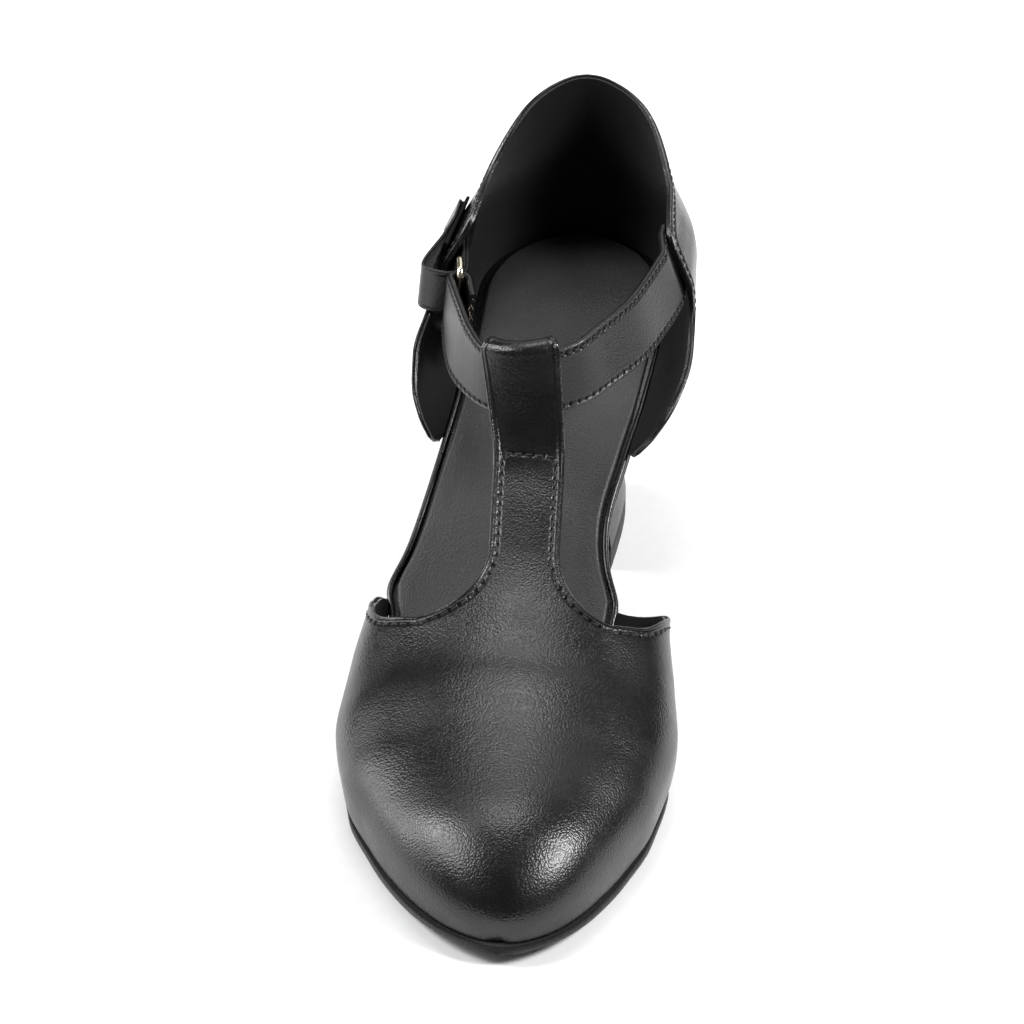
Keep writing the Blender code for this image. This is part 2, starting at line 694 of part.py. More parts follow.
def vamp_turns():
    """The turns of the vamp's columns, from the outer foot over the T-bar to the inner foot."""
    side = (math.pi - THROAT_ANGLE) / VAMP_SIDE_COLUMNS
    scoop = THROAT_ANGLE - T_BAR_ANGLE
    step = math.pi / 2 / THROAT_COLUMNS
    turns = [side * i - math.pi for i in range(VAMP_SIDE_COLUMNS)]
    turns += [scoop * math.sin(step * i) - THROAT_ANGLE for i in range(THROAT_COLUMNS)]
    bar = [T_BAR_ANGLE * (2 * i / T_BAR_COLUMNS - 1) for i in range(T_BAR_COLUMNS + 1)]
    return turns + bar + [-turn for turn in reversed(turns)]


def build_vamp(collection):
    """The vamp with its T-bar in one piece: over the toes, up the instep and round the strap."""
    turns = vamp_turns()
    points = [vamp_point(0.0, 0.0)]
    points[0].z = outsole_top(0.0) + CLEARANCE
    for i in range(1, VAMP_ROWS + 1):
        even = i / VAMP_ROWS
        share = (1 - math.cos(math.pi / 2 * even) + even * even) / 2
        for turn in turns:
            in_bar = abs(turn) < T_BAR_ANGLE * 1.001
            reach = VAMP_LENGTH if in_bar else throat_reach(turn)
            points.append(vamp_point(reach * share, turn))
    faces = [(0, j + 2, j + 1) for j in range(len(turns) - 1)]
    faces += grid_faces(VAMP_ROWS, len(turns), 1)
    first = 1 + (VAMP_ROWS - 1) * len(turns) + VAMP_SIDE_COLUMNS + THROAT_COLUMNS
    lower = [first + j for j in range(T_BAR_COLUMNS + 1)]
    slope = vamp_point(VAMP_LENGTH, 0.0) - vamp_point(VAMP_LENGTH - SLOPE_STEP, 0.0)
    paths = []
    for j, start in enumerate(lower):
        x = LOOP_ACROSS * BALL_WIDTH + LOOP_SPREAD * T_BAR_WIDTH * (j / T_BAR_COLUMNS - 0.5)
        paths.append(loop_path(points[start], slope, strap_share_at(x)))
    for spots in zip(*[path[1:] for path in paths]):
        upper = [len(points) + j for j in range(T_BAR_COLUMNS + 1)]
        points += spots
        for j in range(T_BAR_COLUMNS):
            faces.append((lower[j], lower[j + 1], upper[j + 1], upper[j]))
        lower = upper
    made = add_object("upper_vamp", points, faces, "leather", collection)
    return thicken(made, UPPER_WALL, -1.0)


def heel_rung(level, i):
    """The outer and inner ends of one rung across the heel, and its height, at a level."""
    t = i / HEEL_RUNGS
    growth = follow(HEEL_ROWS, HEEL_COLUMNS, "growth", level)
    waist = follow(HEEL_ROWS, HEEL_COLUMNS, "waist", level)
    share = 0.35 * t + 0.65 * math.sin(math.pi / 2 * t)
    seat_back = LAST_LENGTH + UPPER_WALL - HEEL_SEAT_INSET - CLEARANCE
    seat_y = HEEL_BREAST + (seat_back - HEEL_BREAST) * share
    inset = HEEL_SEAT_INSET + HEEL_FRONT_INSET * (1 - share) ** 2
    seat_out = edge(-1, seat_y, outsole_margin(seat_y) - inset)
    seat_in = edge(1, seat_y, outsole_margin(seat_y) - inset)
    base_y = HEEL_BASE_FRONT + HEEL_BASE_LENGTH * share
    bow = 1 - math.cos(math.pi / 2 * t)
    back = max(math.sqrt(max(0.0, 1 - bow ** HEEL_BASE_BOW)), HEEL_BASE_LEAST)
    front = math.sin(math.pi / 2 * min(t / HEEL_BASE_TAPER_END, 1.0))
    half = HEEL_BASE_WIDTH / 2 * back * (1 - HEEL_BASE_TAPER * (1 - front))
    middle = HEEL_CENTRE * BALL_WIDTH
    outer = middle - half + (seat_out - middle + half) * growth
    inner = middle + half + (seat_in - middle - half) * growth
    y = base_y + (seat_y - base_y) * growth
    base_middle = HEEL_BASE_FRONT + HEEL_BASE_LENGTH / 2
    centre_y = base_middle + ((seat_back + HEEL_BREAST) / 2 - base_middle) * growth
    outer += (middle - outer) * waist
    inner += (middle - inner) * waist
    y += (centre_y - y) * waist * HEEL_NECK_DEPTH
    top = outsole_bottom(seat_y) - 1.5 * CLEARANCE
    base = TOP_PIECE_HEIGHT + CLEARANCE
    return outer, inner, y, base + (top - base) * level


def build_heel(collection):
    """The flared heel block, from its base up to the outsole's seat."""
    points = []
    levels = [row[0] for row in HEEL_ROWS]
    for level in levels:
        for i in range(HEEL_RUNGS + 1):
            outer, inner, y, z = heel_rung(level, i)
            for j in range(4):
                points.append((outer + (inner - outer) * j / 3, y, z))
    faces = block_faces(len(levels), HEEL_RUNGS + 1, 4)
    return add_object("heel", points, faces, "leather", collection)


def build_top_piece(collection):
    """The rubber top piece that the heel stands on."""
    points = []
    for height in (0.0, TOP_PIECE_HEIGHT):
        for i in range(HEEL_RUNGS + 1):
            outer, inner, y, _ = heel_rung(0.0, i)
            for j in range(4):
                points.append((outer + (inner - outer) * j / 3, y, height))
    faces = block_faces(2, HEEL_RUNGS + 1, 4)
    return add_object("top_piece", points, faces, "rubber", collection)


def centre_on_floor(made):
    """Moves every piece so that the shoe's box is centred on the origin, in X and Y."""
    bpy.context.view_layer.update()
    graph = bpy.context.evaluated_depsgraph_get()
    corners = []
    for piece in made:
        mesh = piece.evaluated_get(graph).to_mesh()
        corners += [v.co.copy() for v in mesh.vertices]
        piece.evaluated_get(graph).to_mesh_clear()
    for axis in (0, 1):
        low = min(c[axis] for c in corners)
        high = max(c[axis] for c in corners)
        for piece in made:
            piece.location[axis] = -(low + high) / 2


def main():
    for old in list(bpy.data.objects):
        bpy.data.objects.remove(old, do_unlink=True)
    collection = bpy.data.collections.new("t_strap_shoe")
    bpy.context.scene.collection.children.link(collection)
    builders = (
        build_outsole, build_insole, build_vamp, build_quarter, build_strap,
        build_ring, build_tab, build_heel, build_top_piece,
    )
    centre_on_floor([build(collection) for build in builders])


main()
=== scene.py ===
"""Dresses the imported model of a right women's T-strap shoe and sets it in a plain studio.

Positions are first worked out in the last's own frame: y runs back from the toe's tip, x runs
to the inner side of the foot and z up from the floor. Every piece is moved by the same shift
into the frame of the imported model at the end.
"""

import logging
import math
from dataclasses import dataclass, field
from enum import Enum
from typing import Callable, Iterable, Sequence

import bmesh
import bpy
from mathutils import Matrix, Vector
from mathutils.bvhtree import BVHTree
from mathutils.kdtree import KDTree


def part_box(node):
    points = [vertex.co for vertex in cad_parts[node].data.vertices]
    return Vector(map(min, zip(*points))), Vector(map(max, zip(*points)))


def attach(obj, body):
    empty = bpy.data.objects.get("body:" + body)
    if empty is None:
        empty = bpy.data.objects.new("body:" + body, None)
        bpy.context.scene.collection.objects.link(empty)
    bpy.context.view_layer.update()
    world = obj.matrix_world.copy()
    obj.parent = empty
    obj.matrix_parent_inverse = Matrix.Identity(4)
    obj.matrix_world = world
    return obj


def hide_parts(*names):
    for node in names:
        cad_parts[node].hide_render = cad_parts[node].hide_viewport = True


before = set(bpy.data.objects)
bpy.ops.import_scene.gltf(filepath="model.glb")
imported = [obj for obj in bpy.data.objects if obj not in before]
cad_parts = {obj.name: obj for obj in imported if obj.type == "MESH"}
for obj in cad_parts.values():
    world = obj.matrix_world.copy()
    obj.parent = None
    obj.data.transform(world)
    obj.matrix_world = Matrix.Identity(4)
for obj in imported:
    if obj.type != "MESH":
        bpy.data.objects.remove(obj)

logging.basicConfig(level=logging.INFO, format="%(message)s")
log = logging.getLogger("t_strap_shoe")

MM = 0.001
FAR = 9.0
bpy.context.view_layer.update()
Band = list[tuple[Vector, Vector, Vector]]
Colour = tuple[float, float, float]
Finish = bpy.types.Material
Mesh = bmesh.types.BMesh
Piece = bpy.types.Object
Place = Callable[[float, float], Vector]
Socket = bpy.types.NodeSocket


# ---------------------------------------------------------------- tables and the last


@dataclass(frozen=True)
class Table:
    """Rows of named columns, read smoothly at a value of the first column."""

    columns: tuple[str, ...]
    rows: tuple[tuple[float, ...], ...]

    def read(self, name: str, at: float) -> float:
        """The named column at a value of the first column.

        Args:
            name: the column to read.
            at: the value of the first column, held within the table.

        Returns:
            The value on a monotone cubic through the rows.
        """
        k = self.columns.index(name)
        rows = self.rows
        at = min(max(at, rows[0][0]), rows[-1][0])
        i = max(j for j in range(len(rows) - 1) if rows[j][0] <= at)
        span = rows[i + 1][0] - rows[i][0]
        t = (at - rows[i][0]) / span
        rise = rows[i + 1][k] - rows[i][k]
        start = self._slope(i, k) * span
        end = self._slope(i + 1, k) * span
        bend = 3 * rise - 2 * start - end
        twist = start + end - 2 * rise
        return rows[i][k] + t * (start + t * (bend + t * twist))

    def _steepness(self, j: int, k: int) -> float:
        """The rise of column k per unit between rows j and j + 1."""
        return (self.rows[j + 1][k] - self.rows[j][k]) / (self.rows[j + 1][0] - self.rows[j][0])

    def _slope(self, j: int, k: int) -> float:
        """The slope of column k at row j."""
        if j == 0:
            return self._steepness(0, k)
        if j == len(self.rows) - 1:
            return self._steepness(j - 1, k)
        before = self._steepness(j - 1, k)
        after = self._steepness(j, k)
        return 0.0 if before * after <= 0.0 else 2.0 * before * after / (before + after)


def ease(t: float) -> float:
    """A smooth step from 0 to 1 over t from 0 to 1."""
    t = min(max(t, 0.0), 1.0)
    return t * t * (3 - 2 * t)


def round_off(distance: float, length: float) -> float:
    """How far a round end has opened at this distance from its tip, from 0 to 1."""
    return math.sqrt(max(0.0, 1.0 - (1.0 - min(max(distance, 0.0), length) / length) ** 2))


@dataclass(frozen=True)
class Last:
    """The mould that the shoe is built over, with the layers under the foot."""

    length: float = 229.0 * MM
    ball_width: float = 77.0 * MM
    seat_height: float = 66.0 * MM
    crown_height: float = 33.0 * MM
    toe_box: float = 46.0 * MM
    toe_cap: float = 30.0 * MM
    heel_round: float = 30.0 * MM
    forefoot_rest: float = 7.4 * MM
    clearance: float = 0.3 * MM
    insole_thickness: float = 3.6 * MM
    outsole_thickness: float = 3.5 * MM
    wall: float = 1.6 * MM
    toe_centre: float = 0.090
    heel_centre: float = -0.011
    bulge_level: float = 0.34
    rows: Table = Table(
        ("station", "outer", "inner", "rise", "crown", "outer_bulge", "inner_bulge"),
        (
            (0.000, -0.284, 0.398, 0.045, 0.50, 0.010, 0.010),
            (0.075, -0.327, 0.405, 0.014, 0.62, 0.018, 0.018),
            (0.132, -0.372, 0.425, 0.000, 0.68, 0.026, 0.024),
            (0.200, -0.450, 0.468, 0.000, 0.77, 0.032, 0.030),
            (0.285, -0.505, 0.495, 0.000, 0.92, 0.038, 0.038),
            (0.360, -0.508, 0.425, 0.066, 0.98, 0.026, 0.080),
            (0.425, -0.490, 0.338, 0.172, 1.00, 0.020, 0.130),
            (0.490, -0.462, 0.262, 0.312, 1.02, 0.035, 0.185),
            (0.570, -0.410, 0.222, 0.505, 1.05, 0.060, 0.150),
            (0.643, -0.372, 0.256, 0.668, 1.10, 0.110, 0.090),
            (0.710, -0.345, 0.294, 0.802, 1.15, 0.115, 0.090),
            (0.795, -0.336, 0.316, 0.918, 1.20, 0.090, 0.080),
            (0.883, -0.337, 0.319, 0.978, 1.25, 0.070, 0.070),
            (0.950, -0.337, 0.319, 0.995, 1.25, 0.060, 0.060),
            (1.000, -0.337, 0.319, 1.000, 1.25, 0.060, 0.060),
        ),
    )

    def at(self, name: str, y: float) -> float:
        """A column of the last at a distance y from its toe."""
        return self.rows.read(name, y / self.length)

    def edge(self, side: int, y: float, margin: float = 0.0) -> float:
        """Where the bottom's edge is across the foot.

        Args:
            side: -1 for the outer edge, 1 for the inner.
            y: the distance from the toe.
            margin: how far the edge is moved out.

        Returns:
            The x of the edge.
        """
        y_in = min(max(y, 0.0), self.length)
        x = self.at("outer" if side < 0 else "inner", y_in) * self.ball_width + side * margin
        toe = round_off(y + margin, self.toe_box)
        heel = round_off(self.length + margin - y, self.heel_round)
        centre = self.toe_centre if y < self.length / 2 else self.heel_centre
        middle = centre * self.ball_width
        return middle + (x - middle) * toe * heel

    def seat(self, y: float) -> float:
        """The height of the insole's top at a distance from the toe."""
        rise = self.at("rise", min(max(y, 0.0), self.length))
        return self.forefoot_rest + rise * (self.seat_height - self.forefoot_rest)

    def steepening(self, y: float) -> float:
        """How much taller a layer is, measured upright, where the bottom slopes."""
        step = 2.0 * MM
        return math.hypot(1.0, (self.seat(y + step) - self.seat(y - step)) / (2 * step))

    def insole_bottom(self, y: float) -> float:
        """The height of the insole's underside."""
        return self.seat(y) - self.insole_thickness * self.steepening(y)

    def outsole_top(self, y: float) -> float:
        """The height of the outsole's upper face."""
        return self.insole_bottom(y) - self.clearance

    def outsole_bottom(self, y: float) -> float:
        """The height of the outsole's underside."""
        return self.outsole_top(y) - self.outsole_thickness * self.steepening(y)


LAST = Last()


def model_shift(heel_front: float) -> Vector:
    """The way from the last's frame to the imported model's.

    Args:
        heel_front: the distance of the top piece's front edge from the toe's tip.

    Returns:
        The shift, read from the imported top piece.
    """
    low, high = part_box("top_piece")
    x = (low[0] + high[0]) / 2 - LAST.heel_centre * LAST.ball_width
    return Vector((x, low[1] - heel_front, 0.0))


# ---------------------------------------------------------------- mesh helpers


def smooth_path(points: Sequence[Vector], steps: int) -> list[Vector]:
    """A smooth line through points.

    Args:
        points: what the line passes through.
        steps: how many steps it takes between each two.

    Returns:
        The line's points.
    """
    line: list[Vector] = []
    for i in range(len(points) - 1):
        before = points[max(i - 1, 0)]
        start = points[i]
        end = points[i + 1]
        after = points[min(i + 2, len(points) - 1)]
        m0 = (end - before) / 2
        m1 = (after - start) / 2
        for j in range(steps):
            t = j / steps
            line.append(
                start * (2 * t ** 3 - 3 * t ** 2 + 1) + m0 * (t ** 3 - 2 * t ** 2 + t)
                + end * (3 * t ** 2 - 2 * t ** 3) + m1 * (t ** 3 - t ** 2)
            )
    line.append(points[-1].copy())
    return line


def smoothed(line: Sequence[Vector], times: int) -> list[Vector]:
    """The line with each point drawn towards its neighbours, its two ends kept."""
    line = list(line)
    for _ in range(times):
        inner = [(a + b * 2 + c) / 4 for a, b, c in zip(line, line[1:], line[2:])]
        line = [line[0], *inner, line[-1]]
    return line


class Run:
    """A line read by its length."""

    def __init__(self, points: Sequence[Vector]) -> None:
        """Measures the line through the points."""
        self.points = [p.copy() for p in points]
        self.lengths = [0.0]
        for a, b in zip(self.points, self.points[1:]):
            self.lengths.append(self.lengths[-1] + (b - a).length)

    @property
    def length(self) -> float:
        """The whole length."""
        return self.lengths[-1]

    def at(self, distance: float) -> tuple[Vector, Vector]:
        """The point and the direction at a distance along the line."""
        distance = min(max(distance, 0.0), self.length)
        low, high = 0, len(self.points) - 2
        while low < high:
            middle = (low + high + 1) // 2
            if self.lengths[middle] <= distance:
                low = middle
            else:
                high = middle - 1
        span = self.lengths[low + 1] - self.lengths[low]
        t = 0.0 if span == 0 else (distance - self.lengths[low]) / span
        a, b = self.points[low], self.points[low + 1]
        return a.lerp(b, t), (b - a).normalized()

    def even(self, step: float) -> list[float]:
        """Distances about this step apart, from one end to the other."""
        count = max(1, round(self.length / step))
        return [self.length * i / count for i in range(count + 1)]


def sheet(across: int, along: int, place: Place, weld: float = 0.02 * MM) -> Mesh:
    """A grid laid over a surface, its doubled points merged.

    Args:
        across: how many faces the grid has in its first direction.
        along: how many it has in its second.
        place: gives the point for two shares from 0 to 1.
        weld: points nearer than this become one.

    Returns:
        The new mesh.
    """
    bm = bmesh.new()
    bmesh.ops.create_grid(bm, x_segments=across, y_segments=along, size=1.0)
    for vert in bm.verts:
        vert.co = place((vert.co.x + 1) / 2, (vert.co.y + 1) / 2)
    bmesh.ops.remove_doubles(bm, verts=bm.verts, dist=weld)
    return bm


def close_ends(bm: Mesh) -> None:
    """Fills each open loop of a tube and turns its faces outwards."""
    rim = [edge for edge in bm.edges if edge.is_boundary]
    if rim:
        bmesh.ops.holes_fill(bm, edges=rim, sides=0)
        caps = [face for face in bm.faces if len(face.verts) > 4]
        bmesh.ops.triangulate(bm, faces=caps)
    bmesh.ops.recalc_face_normals(bm, faces=bm.faces)


def join(bm: Mesh, part: Mesh) -> None:
    """Adds one mesh to another and frees it."""
    spare = bpy.data.meshes.new("part")
    part.to_mesh(spare)
    part.free()
    bm.from_mesh(spare)
    bpy.data.meshes.remove(spare)


def link(name: str, data: bpy.types.ID) -> Piece:
    """Puts a new object with this data in the scene."""
    made = bpy.data.objects.new(name, data)
    bpy.context.scene.collection.objects.link(made)
    return made


class Shoe:
    """Turns finished meshes into pieces of the shoe."""

    def __init__(self, shift: Vector) -> None:
        """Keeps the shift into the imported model's frame."""
        self.shift = shift
        self.pieces: list[Piece] = []

    def piece(self, name: str, bm: Mesh, finishes: Sequence[Finish], slot: str,
              replaces: Sequence[str] = (), sharp: float = 40.0) -> Piece:
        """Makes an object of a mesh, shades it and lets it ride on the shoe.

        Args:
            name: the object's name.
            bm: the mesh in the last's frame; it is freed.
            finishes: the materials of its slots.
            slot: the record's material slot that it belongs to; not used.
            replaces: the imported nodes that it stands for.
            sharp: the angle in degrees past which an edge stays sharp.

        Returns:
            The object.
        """
        bmesh.ops.translate(bm, verts=bm.verts, vec=self.shift)
        mesh = bpy.data.meshes.new(name)
        bm.to_mesh(mesh)
        bm.free()
        mesh.shade_smooth()
        mesh.set_sharp_from_angle(angle=math.radians(sharp))
        for finish in finishes:
            mesh.materials.append(finish)
        made = link(name, mesh)
        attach(made, "root")
        if replaces:
            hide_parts(*replaces)
        self.pieces.append(made)
        log.info("%s: %d faces", name, len(mesh.polygons))
        return made


def line_wall(made: Piece, rounding: float) -> None:
    """Gives an open outer surface its wall, lined on the inside, and rounds its cut edges.

    Args:
        made: the object; its second slot is the lining.
        rounding: how wide the rounding is.
    """
    wall = made.modifiers.new("wall", "SOLIDIFY")
    wall.thickness = LAST.wall
    wall.offset = -1.0
    wall.use_even_offset = True
    wall.material_offset = 1
    wall.thickness_clamp = 0.0
    bevel = made.modifiers.new("rounding", "BEVEL")
    bevel.width = rounding
    bevel.segments = 2
    bevel.limit_method = "ANGLE"
    bevel.angle_limit = math.radians(50.0)


def write_float(bm: Mesh, name: str, value: Callable[[Vector], float]) -> None:
    """Stores a number on every point of a mesh."""
    layer = bm.verts.layers.float.new(name)
    for vert in bm.verts:
        vert[layer] = value(vert.co)


class Nearest:
    """Distances from points to a line, by the line's closely spaced points."""

    def __init__(self, lines: Iterable[Sequence[Vector]], pitch: float = 1.0 * MM) -> None:
        """Fills the search tree with points along each line, numbered in stitches of a pitch."""
        spots: list[tuple[Vector, float]] = []
        offset = 0.0
        for line in lines:
            run = Run(line)
            count = max(1, round(run.length / pitch))
            for distance in run.even(0.4 * MM):
                spots.append((run.at(distance)[0], offset + count * distance / run.length))
            offset += count
        self.runs = [spot[1] for spot in spots]
        self.tree = KDTree(len(spots))
        for i, (point, _) in enumerate(spots):
            self.tree.insert(point, i)
        self.tree.balance()

    def distance(self, point: Vector) -> float:
        """How far the point is from the line."""
        return self.tree.find(point)[2]

    def along(self, point: Vector) -> float:
        """How many stitches along the line the nearest place is."""
        return self.runs[self.tree.find(point)[1]]


def mark_edges(bm: Mesh, rims: Iterable[Sequence[Vector]],
               seams: Sequence[Sequence[Vector]] = (), pitch: float = 1.0 * MM) -> None:
    """Stores on a leather piece how near each point is to the edges and the seams, in mm.

    Args:
        bm: the mesh.
        rims: its folded edges.
        seams: its rows of stitches.
        pitch: the distance from one stitch to the next.
    """
    edges = Nearest(rims)
    write_float(bm, "rim", lambda co: edges.distance(co) / MM)
    if seams:
        rows = Nearest(seams, pitch)
        write_float(bm, "seam", lambda co: rows.distance(co) / MM)
        write_float(bm, "run", rows.along)
    else:
        write_float(bm, "seam", lambda co: FAR)


# ---------------------------------------------------------------- sections of straps and plates


@dataclass(frozen=True)
class Station:
    """A place round the section of a flat piece with rounded edges."""

    across: float
    upper: bool
    angle: float


def section(flat: int, corner: int) -> list[Station]:
    """The stations round a flat section, the first and the last at one place.

    Args:
        flat: how many faces each broad side has.
        corner: how many faces each rounded corner has.

    Returns:
        The stations, along the upper side first.
    """
    half = math.pi / 2
    ring = [Station(2 * i / flat - 1, True, half) for i in range(flat)]
    ring += [Station(1.0, True, half * (1 - i / corner)) for i in range(corner)]
    ring += [Station(1.0, False, -half * i / corner) for i in range(corner)]
    ring += [Station(1 - 2 * i / flat, False, -half) for i in range(flat)]
    ring += [Station(-1.0, False, -half * (1 + i / corner)) for i in range(corner)]
    ring += [Station(-1.0, True, half * (2 - i / corner)) for i in range(corner)]
    ring.append(ring[0])
    return ring


def on_section(station: Station, half: float, top: float, bottom: float,
               radius: float) -> tuple[float, float]:
    """Where a station lies on a section of some size.

    Args:
        station: the station.
        half: half the section's width.
        top: the level of its upper side.
        bottom: the level of its lower side.
        radius: the radius of its corners.

    Returns:
        The offset across and the level.
    """
    radius = min(radius, (top - bottom) / 2, half)
    x = station.across * (half - radius)
    if abs(station.across) == 1.0:
        x += radius * math.cos(station.angle)
    middle = top - radius if station.upper else bottom + radius
    return x, middle + radius * math.sin(station.angle)


# ---------------------------------------------------------------- stitches


@dataclass(frozen=True)
class Stitch:
    """The sizes of a row of stitches."""

    inset: float
    pitch: float
    length: float
    thread: float
    proud: float = 0.02 * MM


class Seams:
    """The surface of one piece, to lay its stitches on."""

    def __init__(self, bm: Mesh) -> None:
        """Keeps the surface to find places and normals on."""
        self.surface = BVHTree.FromBMesh(bm)

    def inset(self, rim: Sequence[Vector], distance: float, side: int) -> list[Vector]:
        """A line on the surface at a distance in from an edge.

        Args:
            rim: points along the edge.
            distance: how far in the line runs.
            side: which side of the edge the surface is on, 1 or -1.

        Returns:
            The line.
        """
        run = Run(rim)
        line: list[Vector] = []
        for spot in run.even(1.0 * MM):
            point, direction = run.at(spot)
            _, normal, _, _ = self.surface.find_nearest(point)
            inward = normal.cross(direction).normalized() * side
            line.append(self.surface.find_nearest(point + inward * distance)[0])
        return smoothed(line, 4)

    def sew(self, lines: Iterable[Sequence[Vector]], stitch: Stitch) -> Mesh:
        """Rows of stitches as one mesh.

        Args:
            lines: the rows.
            stitch: the stitches' sizes.

        Returns:
            The mesh.
        """
        bm = bmesh.new()
        size = Matrix.Diagonal((stitch.length / 2, stitch.thread / 2, stitch.thread / 2, 1.0))
        for line in lines:
            run = Run(line)
            for spot in run.even(stitch.pitch)[:-1]:
                point, direction = run.at(spot + stitch.pitch / 2)
                place, normal, _, _ = self.surface.find_nearest(point)
                across = normal.cross(direction).normalized()
                normal = direction.cross(across).normalized()
                turn = Matrix((direction, across, normal)).transposed().to_4x4()
                spot_at = Matrix.Translation(place + normal * stitch.proud)
                bmesh.ops.create_uvsphere(
                    bm, u_segments=6, v_segments=5, radius=1.0, matrix=spot_at @ turn @ size
                )
        return bm


# ---------------------------------------------------------------- bands and wires


def level_frames(line: Sequence[Vector], ups: Sequence[Vector]) -> Band:
    """The places along a band's middle line, each with its way up and its way out.

    Args:
        line: the middle line.
        ups: its upward directions, which needn't be square to it.

    Returns:
        For each point: the point, the way across the band and the way out of it.
    """
    last = len(line) - 1
    frames: Band = []
    for i, (spot, up) in enumerate(zip(line, ups)):
        direction = (line[min(i + 1, last)] - line[max(i - 1, 0)]).normalized()
        level = (up - direction * up.dot(direction)).normalized()
        frames.append((spot, level, level.cross(direction).normalized()))
    return frames


def lay_band(frames: Band, width: float, thickness: float, flat: int) -> Mesh:
    """A flat band with rounded edges along a line.

    Args:
        frames: the places along its middle line.
        width: the band's width.
        thickness: the band's thickness.
        flat: how many faces each broad side has.

    Returns:
        The mesh.
    """
    ring = section(flat, 3)
    last = len(frames) - 1

    def place(s: float, t: float) -> Vector:
        """A point on the band: s runs round its section and t along it."""
        spot, level, out = frames[round(t * last)]
        station = ring[round(s * (len(ring) - 1))]
        x, z = on_section(station, width / 2, thickness / 2, -thickness / 2, thickness * 0.42)
        return spot + level * x + out * z

    bm = sheet(len(ring) - 1, last, place, weld=0.005 * MM)
    close_ends(bm)
    return bm


def along_band(frames: Band, across: float, outwards: float = 0.0) -> list[list[Vector]]:
    """The two lines along a band at a distance from its middle, and as far out as it says."""
    return [[spot + level * side * across + out * outwards for spot, level, out in frames]
            for side in (-1, 1)]


def add_wire(bm: Mesh, run: Run, radius: float, around: int, along: int,
             thinning: float = 0.6) -> None:
    """Adds a thin round wire or thread along a line to a mesh.

    Args:
        bm: the mesh.
        run: the line.
        radius: the wire's radius.
        around: how many faces it has round.
        along: how many along.
        thinning: how much thinner it gets towards its end.
    """
    def place(s: float, t: float) -> Vector:
        """A point on the wire: s runs round it and t along it."""
        centre, direction = run.at(run.length * t)
        side = direction.cross(Vector((0.31, 0.17, 0.94))).normalized()
        other = direction.cross(side)
        angle = math.tau * s
        thin = radius * (1 - thinning * t) * (1.0 if 0.0 < t < 1.0 else 0.3)
        return centre + (side * math.cos(angle) + other * math.sin(angle)) * thin

    join(bm, sheet(around, along, place, weld=0.002 * MM))


def roll_edges(rims: Iterable[Sequence[Vector]], surface: BVHTree,
               radius: float = 0.5 * MM) -> Mesh:
    """The thin roll of folded leather along the edges of a piece.

    Args:
        rims: the edges.
        surface: the piece's outside.
        radius: the roll's radius.

    Returns:
        The mesh.
    """
    bm = bmesh.new()
    for rim in rims:
        sunk = [p - surface.find_nearest(p)[1] * radius * 0.75 for p in rim]
        add_wire(bm, Run(sunk), radius, 8, round(Run(sunk).length / (0.9 * MM)), 0.0)
    bmesh.ops.recalc_face_normals(bm, faces=bm.faces)
    write_float(bm, "rim", lambda co: FAR)
    write_float(bm, "seam", lambda co: FAR)
    return bm


# ---------------------------------------------------------------- the instep strap


